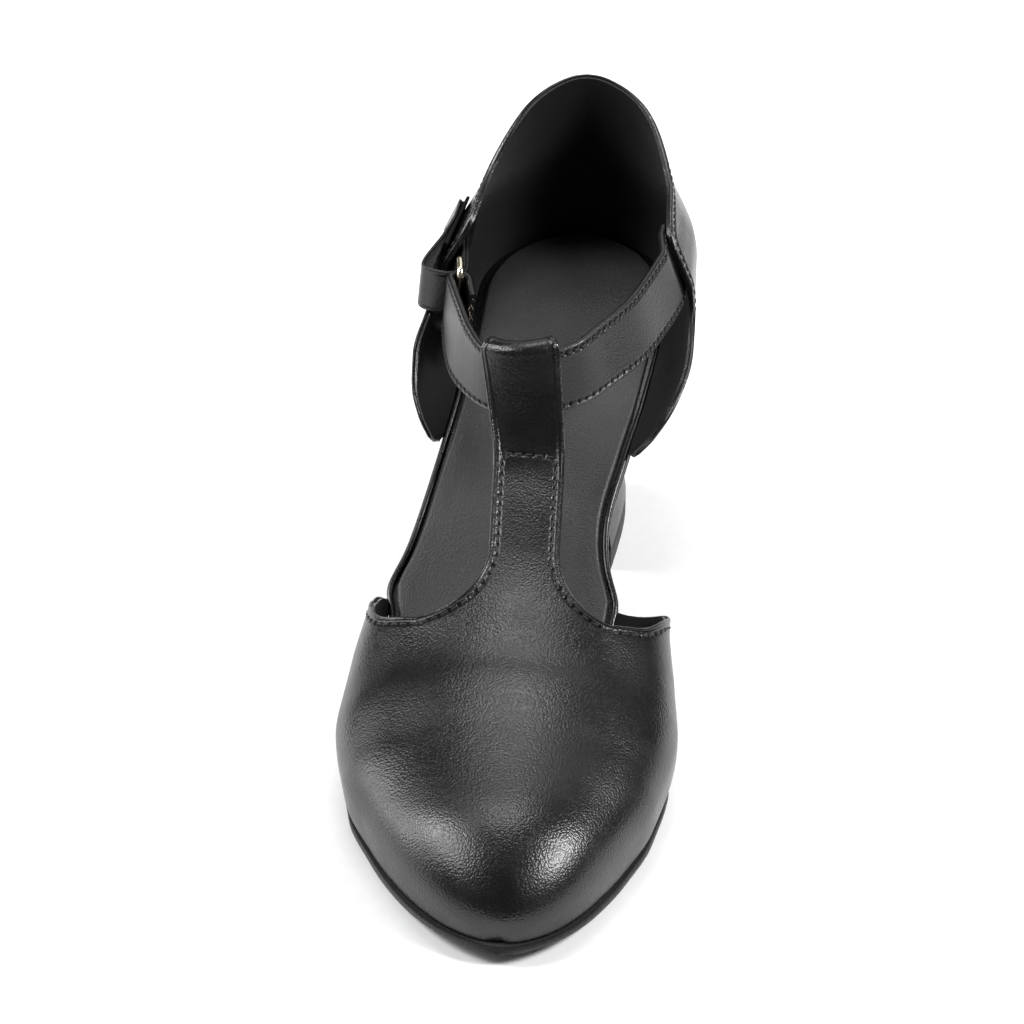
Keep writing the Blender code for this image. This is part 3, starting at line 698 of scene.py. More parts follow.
@dataclass
class InstepStrap:
    """The strap over the instep: sewn inside the inner quarter, folded round the ring.

    Each row is a place on the middle line, in shares of the ball's width, the last's length and
    the seat's height, and then how far the upward direction leans inwards and back.
    """

    width: float = 16.5 * MM
    thickness: float = 1.8 * MM
    fold: float = 9.0 * MM
    threads: int = 16
    stitch: Stitch = Stitch(inset=1.5 * MM, pitch=2.3 * MM, length=1.7 * MM, thread=0.45 * MM)
    seat_rows: tuple[tuple[float, float], ...] = ((0.465, 1.256), (0.44, 1.253), (0.415, 1.250))
    rows: tuple[tuple[float, ...], ...] = (
        (0.357, 0.7803, 1.240, -0.34, 0.12),
        (0.317, 0.7319, 1.216, -0.33, 0.18),
        (0.266, 0.6799, 1.199, -0.30, 0.20),
        (0.182, 0.6319, 1.181, -0.22, 0.20),
        (0.096, 0.5948, 1.161, -0.12, 0.18),
        (-0.060, 0.5729, 1.146, -0.02, 0.16),
        (-0.190, 0.5904, 1.124, 0.04, 0.12),
        (-0.290, 0.6384, 1.120, 0.26, 0.05),
        (-0.346, 0.6886, 1.131, 0.24, 0.02),
        (-0.387, 0.7389, 1.141, 0.10, 0.00),
    )
    line: list[Vector] = field(default_factory=list)
    turns: list[Vector] = field(default_factory=list)

    def __post_init__(self) -> None:
        """Works out the middle line and its upward directions."""
        size = (LAST.ball_width, LAST.length, LAST.seat_height)
        spots = [Vector([r[k] * size[k] for k in range(3)]) for r in self.rows]
        leans = [Vector((r[3], r[4], 1.0)).normalized() for r in self.rows]
        self.line = smooth_path(spots, 8)
        self.turns = smooth_path(leans, 8)

    def frame(self, share: float) -> tuple[Vector, Vector, Vector]:
        """The middle line, the upward direction and the direction along, at a share."""
        steps = len(self.line) - 1
        i = min(int(share * steps), steps - 1)
        t = share * steps - i
        before = self.line[max(i - 1, 0)]
        after = self.line[min(i + 2, steps)]
        coarse = (self.line[i + 1] - self.line[i]).normalized()
        direction = (coarse * 2 + (after - before).normalized()).normalized()
        up = self.turns[i].lerp(self.turns[i + 1], t)
        up = (up - direction * up.dot(direction)).normalized()
        return self.line[i].lerp(self.line[i + 1], t), up, direction

    def share_at(self, x: float) -> float:
        """The share of the strap at which it is this far across the foot."""
        return min((i / 800 for i in range(801)), key=lambda share: abs(self.frame(share)[0].x - x))

    def path(self) -> tuple[list[Vector], list[Vector]]:
        """The whole middle line from its sewn end to its cut end, and its upward directions."""
        stand = -(2 * LAST.clearance + self.thickness / 2)
        stations = [QUARTER.station(1, row, self.width, stand) for row in self.seat_rows]
        main = [self.frame(i / 90) for i in range(91)]
        line, ups = (
            smooth_path([*[s[k] for s in stations], main[0][k], main[4][k]], 6)[:-7]
            + [m[k] for m in main]
            for k in (0, 1)
        )
        front_bar, _, _, _, inward = RING.frame()
        end, up, direction = main[-1]
        arm = end - front_bar
        flat = arm - up * arm.dot(up)
        across = direction * flat.length
        for i in range(1, 15):
            angle = math.pi * i / 14
            turned = flat * math.cos(angle) + across * math.sin(angle)
            line.append(front_bar + up * arm.dot(up) + turned)
        depth = (line[-1] - end).length
        length = sum((b[0] - a[0]).length for a, b in zip(main, main[1:]))
        for i in range(1, 10):
            centre, _, local = self.frame(1.0 - self.fold * i / 9 / length)
            inside = local.cross(up).normalized()
            inside = -inside if inside.x < 0 else inside
            line.append(centre + inside * depth)
        ups += [up] * (len(line) - len(ups))
        return line, ups

    def build(self, shoe: Shoe, leather: Finish, thread: Finish) -> None:
        """Makes the strap as one band, its edge stitches and the frayed cut end."""
        line, ups = self.path()
        frames = level_frames(line, ups)
        bm = lay_band(frames, self.width, self.thickness, 18)
        seams = Seams(bm)
        rows = along_band(frames, self.width / 2 - self.stitch.inset, self.thickness / 2)
        mark_edges(bm, along_band(frames, self.width / 2), rows, self.stitch.pitch)
        shoe.piece("instep_strap_leather", bm, (leather,), "strap_leather", ("instep_strap",),
                   sharp=60.0)
        shoe.piece("strap_stitches", seams.sew(rows, self.stitch), (thread,), "strap_leather")
        self.fray(shoe, line, ups, thread_finish("cut_threads", (0.22, 0.19, 0.14)).make())

    def fray(self, shoe: Shoe, line: Sequence[Vector], ups: Sequence[Vector],
             thread: Finish) -> None:
        """Loose thread ends at the cut end behind the ring."""
        end, up = line[-1], ups[-1]
        direction = (line[-1] - line[-3]).normalized()
        side = direction.cross(up).normalized()
        bm = bmesh.new()
        for i in range(self.threads):
            share = (i * 0.618) % 1.0 - 0.5
            start = end + up * self.width * 0.9 * share + side * 0.5 * MM * math.sin(i * 2.4)
            bend = up * math.sin(i * 1.7) * 1.2 * MM + side * math.cos(i * 2.9) * 0.9 * MM
            reach = (1.0 + 1.4 * ((i * 0.382) % 1.0)) * MM
            spots = [start - direction * 0.6 * MM, start + direction * reach * 0.5 + bend * 0.3,
                     start + direction * reach + bend]
            run = Run(smooth_path(spots, 4))
            add_wire(bm, run, 0.10 * MM, 5, 8)
        bmesh.ops.recalc_face_normals(bm, faces=bm.faces)
        shoe.piece("strap_frayed_threads", bm, (thread,), "strap_leather")


STRAP = InstepStrap()


@dataclass(frozen=True)
class Ring:
    """The metal ring that the strap and the closure tab pass through."""

    wire: float = 1.8 * MM
    width: float = 21.2 * MM
    depth: float = 9.2 * MM
    clearance: float = 0.65 * MM
    toe_in: float = 0.08
    tilt: float = 0.03

    def frame(self) -> tuple[Vector, Vector, Vector, Vector, Vector]:
        """The front and rear bars, the long way, the way back and the way to the foot."""
        end, up, direction = STRAP.frame(1.0)
        inward = direction.cross(up).normalized()
        if inward.x < 0:
            inward = -inward
        front = end + inward * (self.wire / 2 + self.clearance + STRAP.thickness / 2)
        back = (direction + inward * self.toe_in + up * self.tilt).normalized()
        long_way = (up - back * up.dot(back)).normalized()
        return front, front + back * (self.depth - self.wire), long_way, back, inward

    def build(self, shoe: Shoe, metal: Finish) -> None:
        """Bends the wire round and closes it."""
        front, rear, long_way, back, _ = self.frame()
        middle = (front + rear) / 2
        half = Vector(((self.depth - self.wire) / 2, (self.width - self.wire) / 2))
        corner = self.wire * 1.25
        path: list[Vector] = []
        for turn, (sx, sy) in enumerate(((1, 1), (-1, 1), (-1, -1), (1, -1))):
            for i in range(9):
                a = math.pi / 2 * (turn + i / 8)
                u = sx * (half.x - corner) + corner * math.cos(a)
                v = sy * (half.y - corner) + corner * math.sin(a)
                path.append(middle + back * u + long_way * v)
        path.append(path[0])
        run = Run(path)
        normal = back.cross(long_way).normalized()

        def place(s: float, t: float) -> Vector:
            """A point on the wire: s runs round it and t along it."""
            centre = run.at(run.length * (t % 1.0))[0]
            ahead, _ = run.at((run.length * t + 0.2 * MM) % run.length)
            behind, _ = run.at((run.length * t - 0.2 * MM) % run.length)
            direction = (ahead - behind).normalized()
            side = direction.cross(normal).normalized()
            a = math.tau * s
            return centre + (side * math.cos(a) + normal * math.sin(a)) * self.wire / 2

        bm = sheet(16, 72, place)
        bmesh.ops.recalc_face_normals(bm, faces=bm.faces)
        shoe.piece("ring_wire", bm, (metal,), "ring_metal", ("strap_ring",))


RING = Ring()


# ---------------------------------------------------------------- the quarter


@dataclass
class Quarter:
    """The closed back of the upper, from its outer foot round the heel to its inner foot."""

    stitch: Stitch = Stitch(inset=2.0 * MM, pitch=2.2 * MM, length=1.7 * MM, thread=0.5 * MM)
    rounding: float = 0.55 * MM
    foot_share: float = 0.10
    foot_rise: float = 0.07
    start: float = 147.0 * MM
    back_height: float = 47.0 * MM
    bulge: float = 5.0 * MM
    lean: float = 5.2 * MM
    crowding: float = 1.15
    topline_rows: Table = Table(
        ("round", "height"),
        (
            (0.00, 0.013), (0.03, 0.070), (0.07, 0.130), (0.12, 0.165), (0.19, 0.190),
            (0.26, 0.198), (0.32, 0.236), (0.355, 0.320), (0.38, 0.448), (0.40, 0.530),
            (0.43, 0.594), (0.48, 0.620), (0.57, 0.662), (0.69, 0.772), (0.82, 0.905),
            (0.91, 0.970), (0.97, 0.997), (1.00, 1.000),
        ),
    )
    wall_rows: Table = Table(
        ("height", "bulge", "lean"),
        (
            (0.00, 0.00, 0.00), (0.08, 0.60, 0.00), (0.16, 0.92, 0.00), (0.25, 1.00, 0.00),
            (0.34, 0.92, 0.06), (0.44, 0.66, 0.20), (0.54, 0.36, 0.38), (0.64, 0.16, 0.55),
            (0.80, 0.02, 0.79), (1.00, 0.00, 1.00),
        ),
    )
    round_rows: Table = Table(
        ("round", "outer_bulge", "inner_bulge", "outer_lean", "inner_lean"),
        (
            (0.00, 1.60, 1.55, 0.30, 0.30), (0.18, 2.05, 1.95, 0.50, 0.40),
            (0.36, 1.50, 1.45, 0.85, 0.60), (0.60, 0.95, 1.05, 1.25, 0.75),
            (0.85, 0.72, 0.80, 0.80, 0.40), (1.00, 0.66, 0.66, 0.40, 0.40),
        ),
    )
    outlines: dict[int, Run] = field(default_factory=dict)

    def __post_init__(self) -> None:
        """Measures the insole's edge on both sides, from the quarter's foot to the back."""
        for side in (-1, 1):
            points: list[Vector] = []
            for i in range(241):
                share = math.sin(math.pi / 2 * i / 240)
                y = self.start + (LAST.length + LAST.clearance - self.start) * share
                points.append(Vector((LAST.edge(side, y, LAST.clearance), y, 0.0)))
            self.outlines[side] = Run(points)

    def topline(self, share: float) -> float:
        """The height of the upper edge over the insole at a share of the way round."""
        return self.back_height * self.topline_rows.read("height", share)

    def point(self, side: int, share: float, height: float, offset: float = 0.0) -> Vector:
        """A point on the wall.

        Args:
            side: -1 on the outer half, 1 on the inner.
            share: the share of the way from the foot to the back's middle.
            height: the height over the insole.
            offset: how far outside the inner face.

        Returns:
            The point.
        """
        outline = self.outlines[side]
        distance = outline.length * min(max(share, 0.0), 1.0)
        base = outline.at(distance)[0]
        step = 0.4 * MM
        ahead = outline.at(distance + step)[0]
        behind = outline.at(distance - step)[0]
        direction = (ahead - behind).normalized()
        out = Vector((direction.y, -direction.x, 0.0)) * side
        if share > 0.999:
            out = Vector((0.0, 1.0, 0.0))
        level = max(height, 0.0) / self.back_height
        name = "outer" if side < 0 else "inner"
        stand = self.bulge * self.round_rows.read(f"{name}_bulge", share)
        stand *= self.wall_rows.read("bulge", level)
        lean = self.lean * self.round_rows.read(f"{name}_lean", share)
        stand -= lean * self.wall_rows.read("lean", level)
        point = base + out * (stand + offset)
        point.z = LAST.seat(base.y) + height
        return point

    def half_share(self, s: float) -> tuple[int, float]:
        """The side and the share for a place s from 0 at the outer foot to 1 at the inner."""
        side = -1 if s <= 0.5 else 1
        share = 2 * s if s <= 0.5 else 2 - 2 * s
        return side, share ** self.crowding

    def edge_line(self, count: int = 400) -> list[Vector]:
        """Points along the outside of the upper edge, from foot to foot."""
        line: list[Vector] = []
        for i in range(count + 1):
            side, share = self.half_share(i / count)
            line.append(self.point(side, share, self.topline(share), LAST.wall))
        return line

    def station(self, side: int, row: Sequence[float], width: float,
                stand: float) -> tuple[Vector, Vector]:
        """The middle and the upward direction of a band that lies along the wall.

        Args:
            side: -1 on the outer half, 1 on the inner.
            row: the share of the way round, and the height as a share of the seat's.
            width: the band's width.
            stand: how far outside the wall's inner face.

        Returns:
            The middle and the direction.
        """
        share, height = row[:2]
        over = height * LAST.seat_height - LAST.seat(self.point(side, share, 0.0).y)
        low = self.point(side, share, over - width / 2, stand)
        high = self.point(side, share, over + width / 2, stand)
        middle = (low + high) / 2 if stand < 0 else self.point(side, share, over, stand)
        return middle, (high - low).normalized()

    def build(self, shoe: Shoe, leather: Finish, lining: Finish, thread: Finish) -> None:
        """Lays the wall, folds its edge and sews it."""
        foot = self.foot_share

        def place(s: float, t: float) -> Vector:
            """A point on the outside: s runs round the heel and t up the wall."""
            side, share = self.half_share(s)
            if t < foot:
                y = self.point(side, share, 0.0).y
                height = -LAST.insole_thickness * LAST.steepening(y) * (1 - t / foot)
                height *= ease(share / self.foot_rise)
            else:
                height = self.topline(share) * (t - foot) / (1 - foot)
            return self.point(side, share, height, LAST.wall)

        bm = sheet(220, 48, place)
        bmesh.ops.recalc_face_normals(bm, faces=bm.faces)
        rim = self.edge_line()
        seams = Seams(bm)
        seam = seams.inset(rim[14:-14], self.stitch.inset, 1)
        mark_edges(bm, [rim], [seam], self.stitch.pitch)
        slot = "quarter_leather"
        made = shoe.piece("quarter_leather", bm, (leather, lining), slot, ("upper_quarter",))
        line_wall(made, self.rounding)
        shoe.piece("quarter_stitches", seams.sew([seam], self.stitch), (thread,), slot)
        shoe.piece("quarter_edge_roll", roll_edges([rim], seams.surface), (leather,), slot)


QUARTER = Quarter()


# ---------------------------------------------------------------- the vamp and its T-bar


@dataclass
class Vamp:
    """The closed toe and vamp with the T-bar in one piece, looped over the instep strap."""

    stitch: Stitch = Stitch(
        inset=1.7 * MM, pitch=2.8 * MM, length=1.9 * MM, thread=0.50 * MM, proud=0.0
    )
    rounding: float = 0.5 * MM
    bar_width: float = 16.4 * MM
    bar_angle: float = math.radians(15.2)
    outer_bar_angle: float = math.radians(10.3)
    throat_angle: float = math.radians(36.0)
    length: float = 96.5 * MM
    foot: float = 112.5 * MM
    outer_depth: float = 16.0 * MM
    inner_depth: float = 14.0 * MM
    tail: float = 9.0 * MM
    spread: float = 1.06
    across: float = -0.068
    waist: float = 0.98
    waist_shift: float = 1.9 * MM
    bend_drop: float = 14.2 * MM
    bend_out: float = 9.7 * MM
    loop_steps: tuple[int, int, int] = (46, 16, 16)
    slope_step: float = 4.0 * MM
    box: float = 26.4 * MM
    side_columns: int = 68
    throat_columns: int = 22
    bar_columns: int = 16
    rows: int = 118
    edge_rows: Table = Table(
        ("turn", "outer", "inner"),
        (
            (0.000, 0.000, 0.000), (0.120, 0.125, 0.150), (0.250, 0.380, 0.420),
            (0.375, 0.628, 0.640), (0.600, 0.830, 0.840), (1.000, 1.000, 1.000),
        ),
    )

    def point(self, y: float, turn: float) -> Vector:
        """A point on the outside.

        Args:
            y: the distance from the toe.
            turn: the angle round from the crown, negative on the outer side.

        Returns:
            The point.
        """
        side = -1 if turn < 0 else 1
        turn = abs(turn)
        foot_x = LAST.edge(side, y, LAST.clearance)
        foot_z = LAST.outsole_top(y) + LAST.clearance
        opening = round_off(y + LAST.clearance, LAST.toe_cap)
        crown = LAST.at("crown", y) * LAST.crown_height * opening + LAST.insole_thickness
        name = "outer_bulge" if side < 0 else "inner_bulge"
        bulge = LAST.at(name, y) * LAST.ball_width * opening
        wide_x = foot_x + side * bulge
        wide_z = foot_z + LAST.bulge_level * crown
        drift = min(y / self.length, 1.0) * (self.across / 3 - LAST.toe_centre)
        ridge_x = LAST.ball_width * (LAST.toe_centre + drift)
        if turn <= math.pi / 2:
            x = ridge_x + (wide_x - ridge_x) * math.sin(turn)
            z = wide_z + (1 - LAST.bulge_level) * crown * math.cos(turn)
        else:
            x = foot_x + (wide_x - foot_x) * math.sin(turn)
            z = wide_z + (wide_z - foot_z) * math.cos(turn)
        return Vector((x, y - LAST.clearance, z))

    def reach(self, turn: float) -> float:
        """How far back the upper edge is at a turn."""
        name = "outer" if turn < 0 else "inner"
        depth = self.outer_depth if turn < 0 else self.inner_depth
        low = self.length - depth
        bar = self.outer_bar_angle if turn < 0 else self.bar_angle
        turn = abs(turn)
        if turn < bar * 1.001:
            return self.length
        if turn < self.throat_angle:
            s = (self.throat_angle - turn) / (self.throat_angle - bar)
            return low + depth * (1 - math.sqrt(max(0.0, 1 - s * s)))
        share = (turn - self.throat_angle) / (math.pi - self.throat_angle)
        return low + (self.foot - low) * self.edge_rows.read(name, share)

    def turns(self) -> list[float]:
        """The turns of the columns, from the outer foot over the T-bar to the inner foot."""
        side = (math.pi - self.throat_angle) / self.side_columns
        step = math.pi / 2 / self.throat_columns
        halves: list[list[float]] = []
        for bar in (self.outer_bar_angle, self.bar_angle):
            scoop = self.throat_angle - bar
            half = [side * i - math.pi for i in range(self.side_columns)]
            half += [
                scoop * math.sin(step * i) - self.throat_angle for i in range(self.throat_columns)
            ]
            halves.append(half)
        middle = [self.bar_turn(i / self.bar_columns) for i in range(self.bar_columns + 1)]
        return halves[0] + middle + [-turn for turn in reversed(halves[1])]

    def bar_turn(self, even: float) -> float:
        """The turn of a T-bar column at a share from the outer edge to the inner."""
        return self.bar_angle * even - self.outer_bar_angle * (1 - even)

    @staticmethod
    def strap_frame(share: float) -> tuple[Vector, Vector, Vector]:
        """The strap's middle at a share, its way up, and the way to the toe."""
        centre, up, direction = STRAP.frame(share)
        front = direction.cross(up).normalized()
        return centre, up, -front if front.y > 0 else front

    def loop_path(self, start: Vector, slope: Vector, share: float) -> Run:
        """A line on the T-bar's outside: up, over the strap, and down behind it.

        Args:
            start: where it leaves the vamp.
            slope: the way up the vamp there.
            share: where it crosses the strap.

        Returns:
            The line.
        """
        centre, up, front = self.strap_frame(share)
        gap = STRAP.thickness / 2 + RING.clearance + LAST.wall
        half = STRAP.width / 2
        top = centre + up * (half + LAST.clearance)
        bottom = centre - up * half
        middle, level, ahead = self.strap_frame(STRAP.share_at(self.across * LAST.ball_width))
        aside = Vector(((centre.x - middle.x) * self.waist + self.waist_shift, 0.0, 0.0))
        bend = middle + aside - level * self.bend_drop + ahead * self.bend_out
        fold = top + front * gap
        leaning = bend.lerp(fold, 0.5) - ahead * 0.5 * MM
        knots = [start - slope, start, start.lerp(bend, 0.5), bend, leaning, fold]
        rise = smoothed(smooth_path(knots, 8)[8:], 12)
        arc: list[Vector] = []
        for i in range(19):
            angle = math.pi * i / 18
            arc.append(top + (front * math.cos(angle) + up * math.sin(angle)) * gap)
        end = bottom - up * self.tail * 0.45 - front * LAST.wall
        tail = [arc[-1], centre - front * gap, bottom - front * gap, end]
        path: list[Vector] = []
        for part, steps in zip((rise, arc, tail), self.loop_steps):
            run = Run(part)
            path += [run.at(run.length * i / steps)[0] for i in range(steps)]
        path.append(end)
        return Run(path)

    def build(self, shoe: Shoe, leather: Finish, lining: Finish, thread: Finish) -> None:
        """Lays the vamp and the loop, and sews the edges and the box over the loop's tail."""
        turns = self.turns()
        last_turn = len(turns) - 1

        def place(s: float, t: float) -> Vector:
            """A point on the vamp: s runs round it and t from the toe back."""
            turn = turns[round(s * last_turn)]
            if t == 0.0:
                tip = self.point(0.0, 0.0)
                tip.z = LAST.outsole_top(0.0) + LAST.clearance
                return tip
            return self.point(self.reach(turn) * t * t * (1.7 - 0.7 * t), turn)

        bm = sheet(last_turn, self.rows, place)
        slope = self.point(self.length, 0.0) - self.point(self.length - self.slope_step, 0.0)
        paths: list[Run] = []
        for j in range(self.bar_columns + 1):
            even = j / self.bar_columns
            x = self.across * LAST.ball_width + self.spread * self.bar_width * (even - 0.5)
            start = self.point(self.length, self.bar_turn(even))
            paths.append(self.loop_path(start, slope, STRAP.share_at(x)))
        steps = len(paths[0].points) - 1
        loop = sheet(
            self.bar_columns, steps,
            lambda s, t: paths[round(s * self.bar_columns)].points[round(t * steps)],
        )
        join(bm, loop)
        bmesh.ops.remove_doubles(bm, verts=bm.verts, dist=0.03 * MM)
        bmesh.ops.recalc_face_normals(bm, faces=bm.faces)
        whole = paths[0].length - self.tail
        rims = [self.rim(turns, paths[0], -1, whole), self.rim(turns, paths[-1], 1, whole)]
        seams = Seams(bm)
        lines = [self.box_run(paths)]
        for path, side, end in ((paths[0], -1, lines[0][0]), (paths[-1], 1, lines[0][-1])):
            edge = self.rim(turns, path, side, self.box)[4:]
            lines.append([*seams.inset(edge, self.stitch.inset, side)[:-2], end])
        mark_edges(bm, rims, lines, self.stitch.pitch)
        slot = "upper_leather"
        made = shoe.piece("vamp_leather", bm, (leather, lining), slot, ("upper_vamp",))
        line_wall(made, self.rounding)
        shoe.piece("vamp_stitches", seams.sew(lines, self.stitch), (thread,), slot)
        shoe.piece("vamp_edge_roll", roll_edges(rims, seams.surface), (leather,), slot)

    def rim(self, turns: Sequence[float], path: Run, side: int, until: float) -> list[Vector]:
        """One side's edge, from the foot up the throat and along the loop.

        Args:
            turns: the columns.
            path: the loop's edge on that side.
            side: -1 on the outer side, 1 on the inner.
            until: how far along the loop it goes.

        Returns:
            Points along the edge.
        """
        bar = self.outer_bar_angle if side < 0 else self.bar_angle
        own = [turn for turn in turns if turn * side >= bar * 0.999]
        own.sort(key=lambda turn: -abs(turn))
        line = [self.point(self.reach(turn), turn) for turn in own]
        line += [path.at(spot)[0] for spot in path.even(1.0 * MM)[1:] if spot < until]
        return line

    def box_run(self, paths: Sequence[Run]) -> list[Vector]:
        """The row of stitches across the T-bar, below the strap."""
        first = round(self.bar_columns * self.stitch.inset / (self.bar_width * self.spread))
        return [path.at(self.box)[0] for path in paths[first:len(paths) - first]]


# ---------------------------------------------------------------- the sole and the insole


@dataclass(frozen=True)
class Plate:
    """How a plate under the foot is laid: stations from its front to its back."""

    front: float
    back: float

    def station(self, t: float) -> float:
        """The place of an even share, closer together at both round ends."""
        span = self.back - self.front
        return self.front + span * (1 - math.cos(math.pi * t)) / 2


@dataclass(frozen=True)
class Outsole:
    """The thin suede-faced outsole."""

    welt: float = 1.6 * MM
    chamfer: float = 1.3 * MM
    toe_lift: float = 0.9 * MM
    waist_inset: float = 1.0 * MM

    def margin(self, y: float) -> float:
        """How far the edge stands out from the last's."""
        waist = ease((y / LAST.length - 0.38) / 0.10)
        heel = ease((y / LAST.length - 0.66) / 0.10)
        behind = -self.waist_inset + heel * (self.waist_inset + LAST.wall)
        return self.welt * (1 - waist) + behind * waist

    def build(self, shoe: Shoe, suede: Finish) -> None:
        """Lays the outsole's two faces and its rounded edge."""
        ring = section(14, 3)
        plate = Plate(-self.welt, LAST.length + LAST.wall)

        def place(s: float, t: float) -> Vector:
            """A point on the outsole: s runs round its section and t back."""
            station = ring[round(s * (len(ring) - 1))]
            y = plate.station(0.004 + 0.992 * t)
            margin = self.margin(y)
            low, high = LAST.edge(-1, y, margin), LAST.edge(1, y, margin)
            top = LAST.outsole_top(y)
            toe = max(0.0, 1 - (y - plate.front) / LAST.toe_cap) ** 2
            bottom = LAST.outsole_bottom(y) + toe * self.toe_lift
            half = (high - low) / 2
            x, z = on_section(station, half, top, bottom, 0.45 * MM)
            if not station.upper:
                edge = max(0.0, abs(x) - (half - self.chamfer)) / self.chamfer
                z = max(z, bottom + self.chamfer * edge)
            return Vector(((low + high) / 2 + x, y, z))

        bm = sheet(len(ring) - 1, 110, place)
        close_ends(bm)
        shoe.piece("outsole_suede", bm, (suede,), "suede", ("outsole",), sharp=50.0)


@dataclass(frozen=True)
class Insole:
    """The wrapped insole board and the padded cover on it."""

    ease_length: float = 8.0 * MM
    meets_width: float = 1.5 * MM
    meets_length: float = 6.0 * MM
    rim: float = 2.5 * MM
    dome: float = 0.35 * MM
    roll_radius: float = 0.8 * MM
    roll_start: float = 60.0 * MM

    def margin(self, y: float) -> float:
        """How far the board's edge stands out from the last's."""
        free = ease((y - VAMP.foot + self.ease_length) / self.ease_length)
        meets = self.meets_width * math.exp(-((y - VAMP.foot) / self.meets_length) ** 2)
        return 0.2 * MM - LAST.wall * (1 - free) + meets

    def build(self, shoe: Shoe, wrap: Finish, cover: Finish) -> None:
        """Lays the pad over the board."""
        ring = section(16, 4)

        def layer(name: str, inset: float, lift: float, drop: float, dome: float, radius: float,
                  finish: Finish, replaces: Sequence[str] = ()) -> Piece:
            """One layer of the insole.

            Args:
                name: the piece's name.
                inset: how far its edge is in from the board's.
                lift: the level of its top against the insole's.
                drop: the level of its underside.
                dome: how much its middle is raised.
                radius: the radius of its upper edge.
                finish: its material.
                replaces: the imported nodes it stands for.

            Returns:
                The piece.
            """
            plate = Plate(2 * LAST.clearance + LAST.wall + inset, LAST.length + 0.2 * MM - inset)

            def place(s: float, t: float) -> Vector:
                """A point on the layer: s runs round its section and t back."""
                station = ring[round(s * (len(ring) - 1))]
                y = plate.station(0.004 + 0.992 * t)
                margin = self.margin(y) - inset
                low, high = LAST.edge(-1, y, margin), LAST.edge(1, y, margin)
                steep = LAST.steepening(y)
                top = LAST.seat(y) + lift * steep
                bottom = LAST.seat(y) + drop * steep
                x, z = on_section(station, (high - low) / 2, top, bottom, radius)
                if station.upper and dome:
                    share = abs(x) / ((high - low) / 2)
                    pressed = 0.3 * math.exp(-((share - 0.86) / 0.05) ** 2)
                    z += dome * (1 - share ** 2 - pressed)
                return Vector(((low + high) / 2 + x, y, z))

            bm = sheet(len(ring) - 1, 100, place)
            close_ends(bm)
            return shoe.piece(name, bm, (finish,), "insole", replaces, sharp=60.0)

        bottom = -LAST.insole_thickness + 0.15 * MM
        layer("insole_board", 0.0, -2.0 * MM, bottom, 0.0, 0.7 * MM, wrap, ("insole",))
        pad = layer("insole_pad", self.rim, -0.25 * MM, -2.1 * MM, self.dome, 1.1 * MM, cover)
        self.roll(shoe, wrap)

    def roll(self, shoe: Shoe, wrap: Finish) -> None:
        """The rolled edge of the leather round the board, which sinks away in the heel cup."""
        radius, start = self.roll_radius, self.roll_start
        end = LAST.length - 2.0 * MM
        bm = bmesh.new()
        for side in (-1, 1):
            line: list[Vector] = []
            for i in range(201):
                y = start + (end - start) * math.sin(math.pi / 2 * i / 200)
                x = LAST.edge(side, y, self.margin(y) - radius)
                sunk = 1.35 * MM + 1.6 * MM * ease((y - 0.70 * LAST.length) / (0.12 * LAST.length))
                line.append(Vector((x, y, LAST.seat(y) - sunk * LAST.steepening(y))))
            add_wire(bm, Run(line), radius, 10, 220, 0.0)
        bmesh.ops.recalc_face_normals(bm, faces=bm.faces)
        shoe.piece("insole_edge_roll", bm, (wrap,), "insole")


VAMP = Vamp()
OUTSOLE = Outsole()
INSOLE = Insole()


# ---------------------------------------------------------------- the closure tab


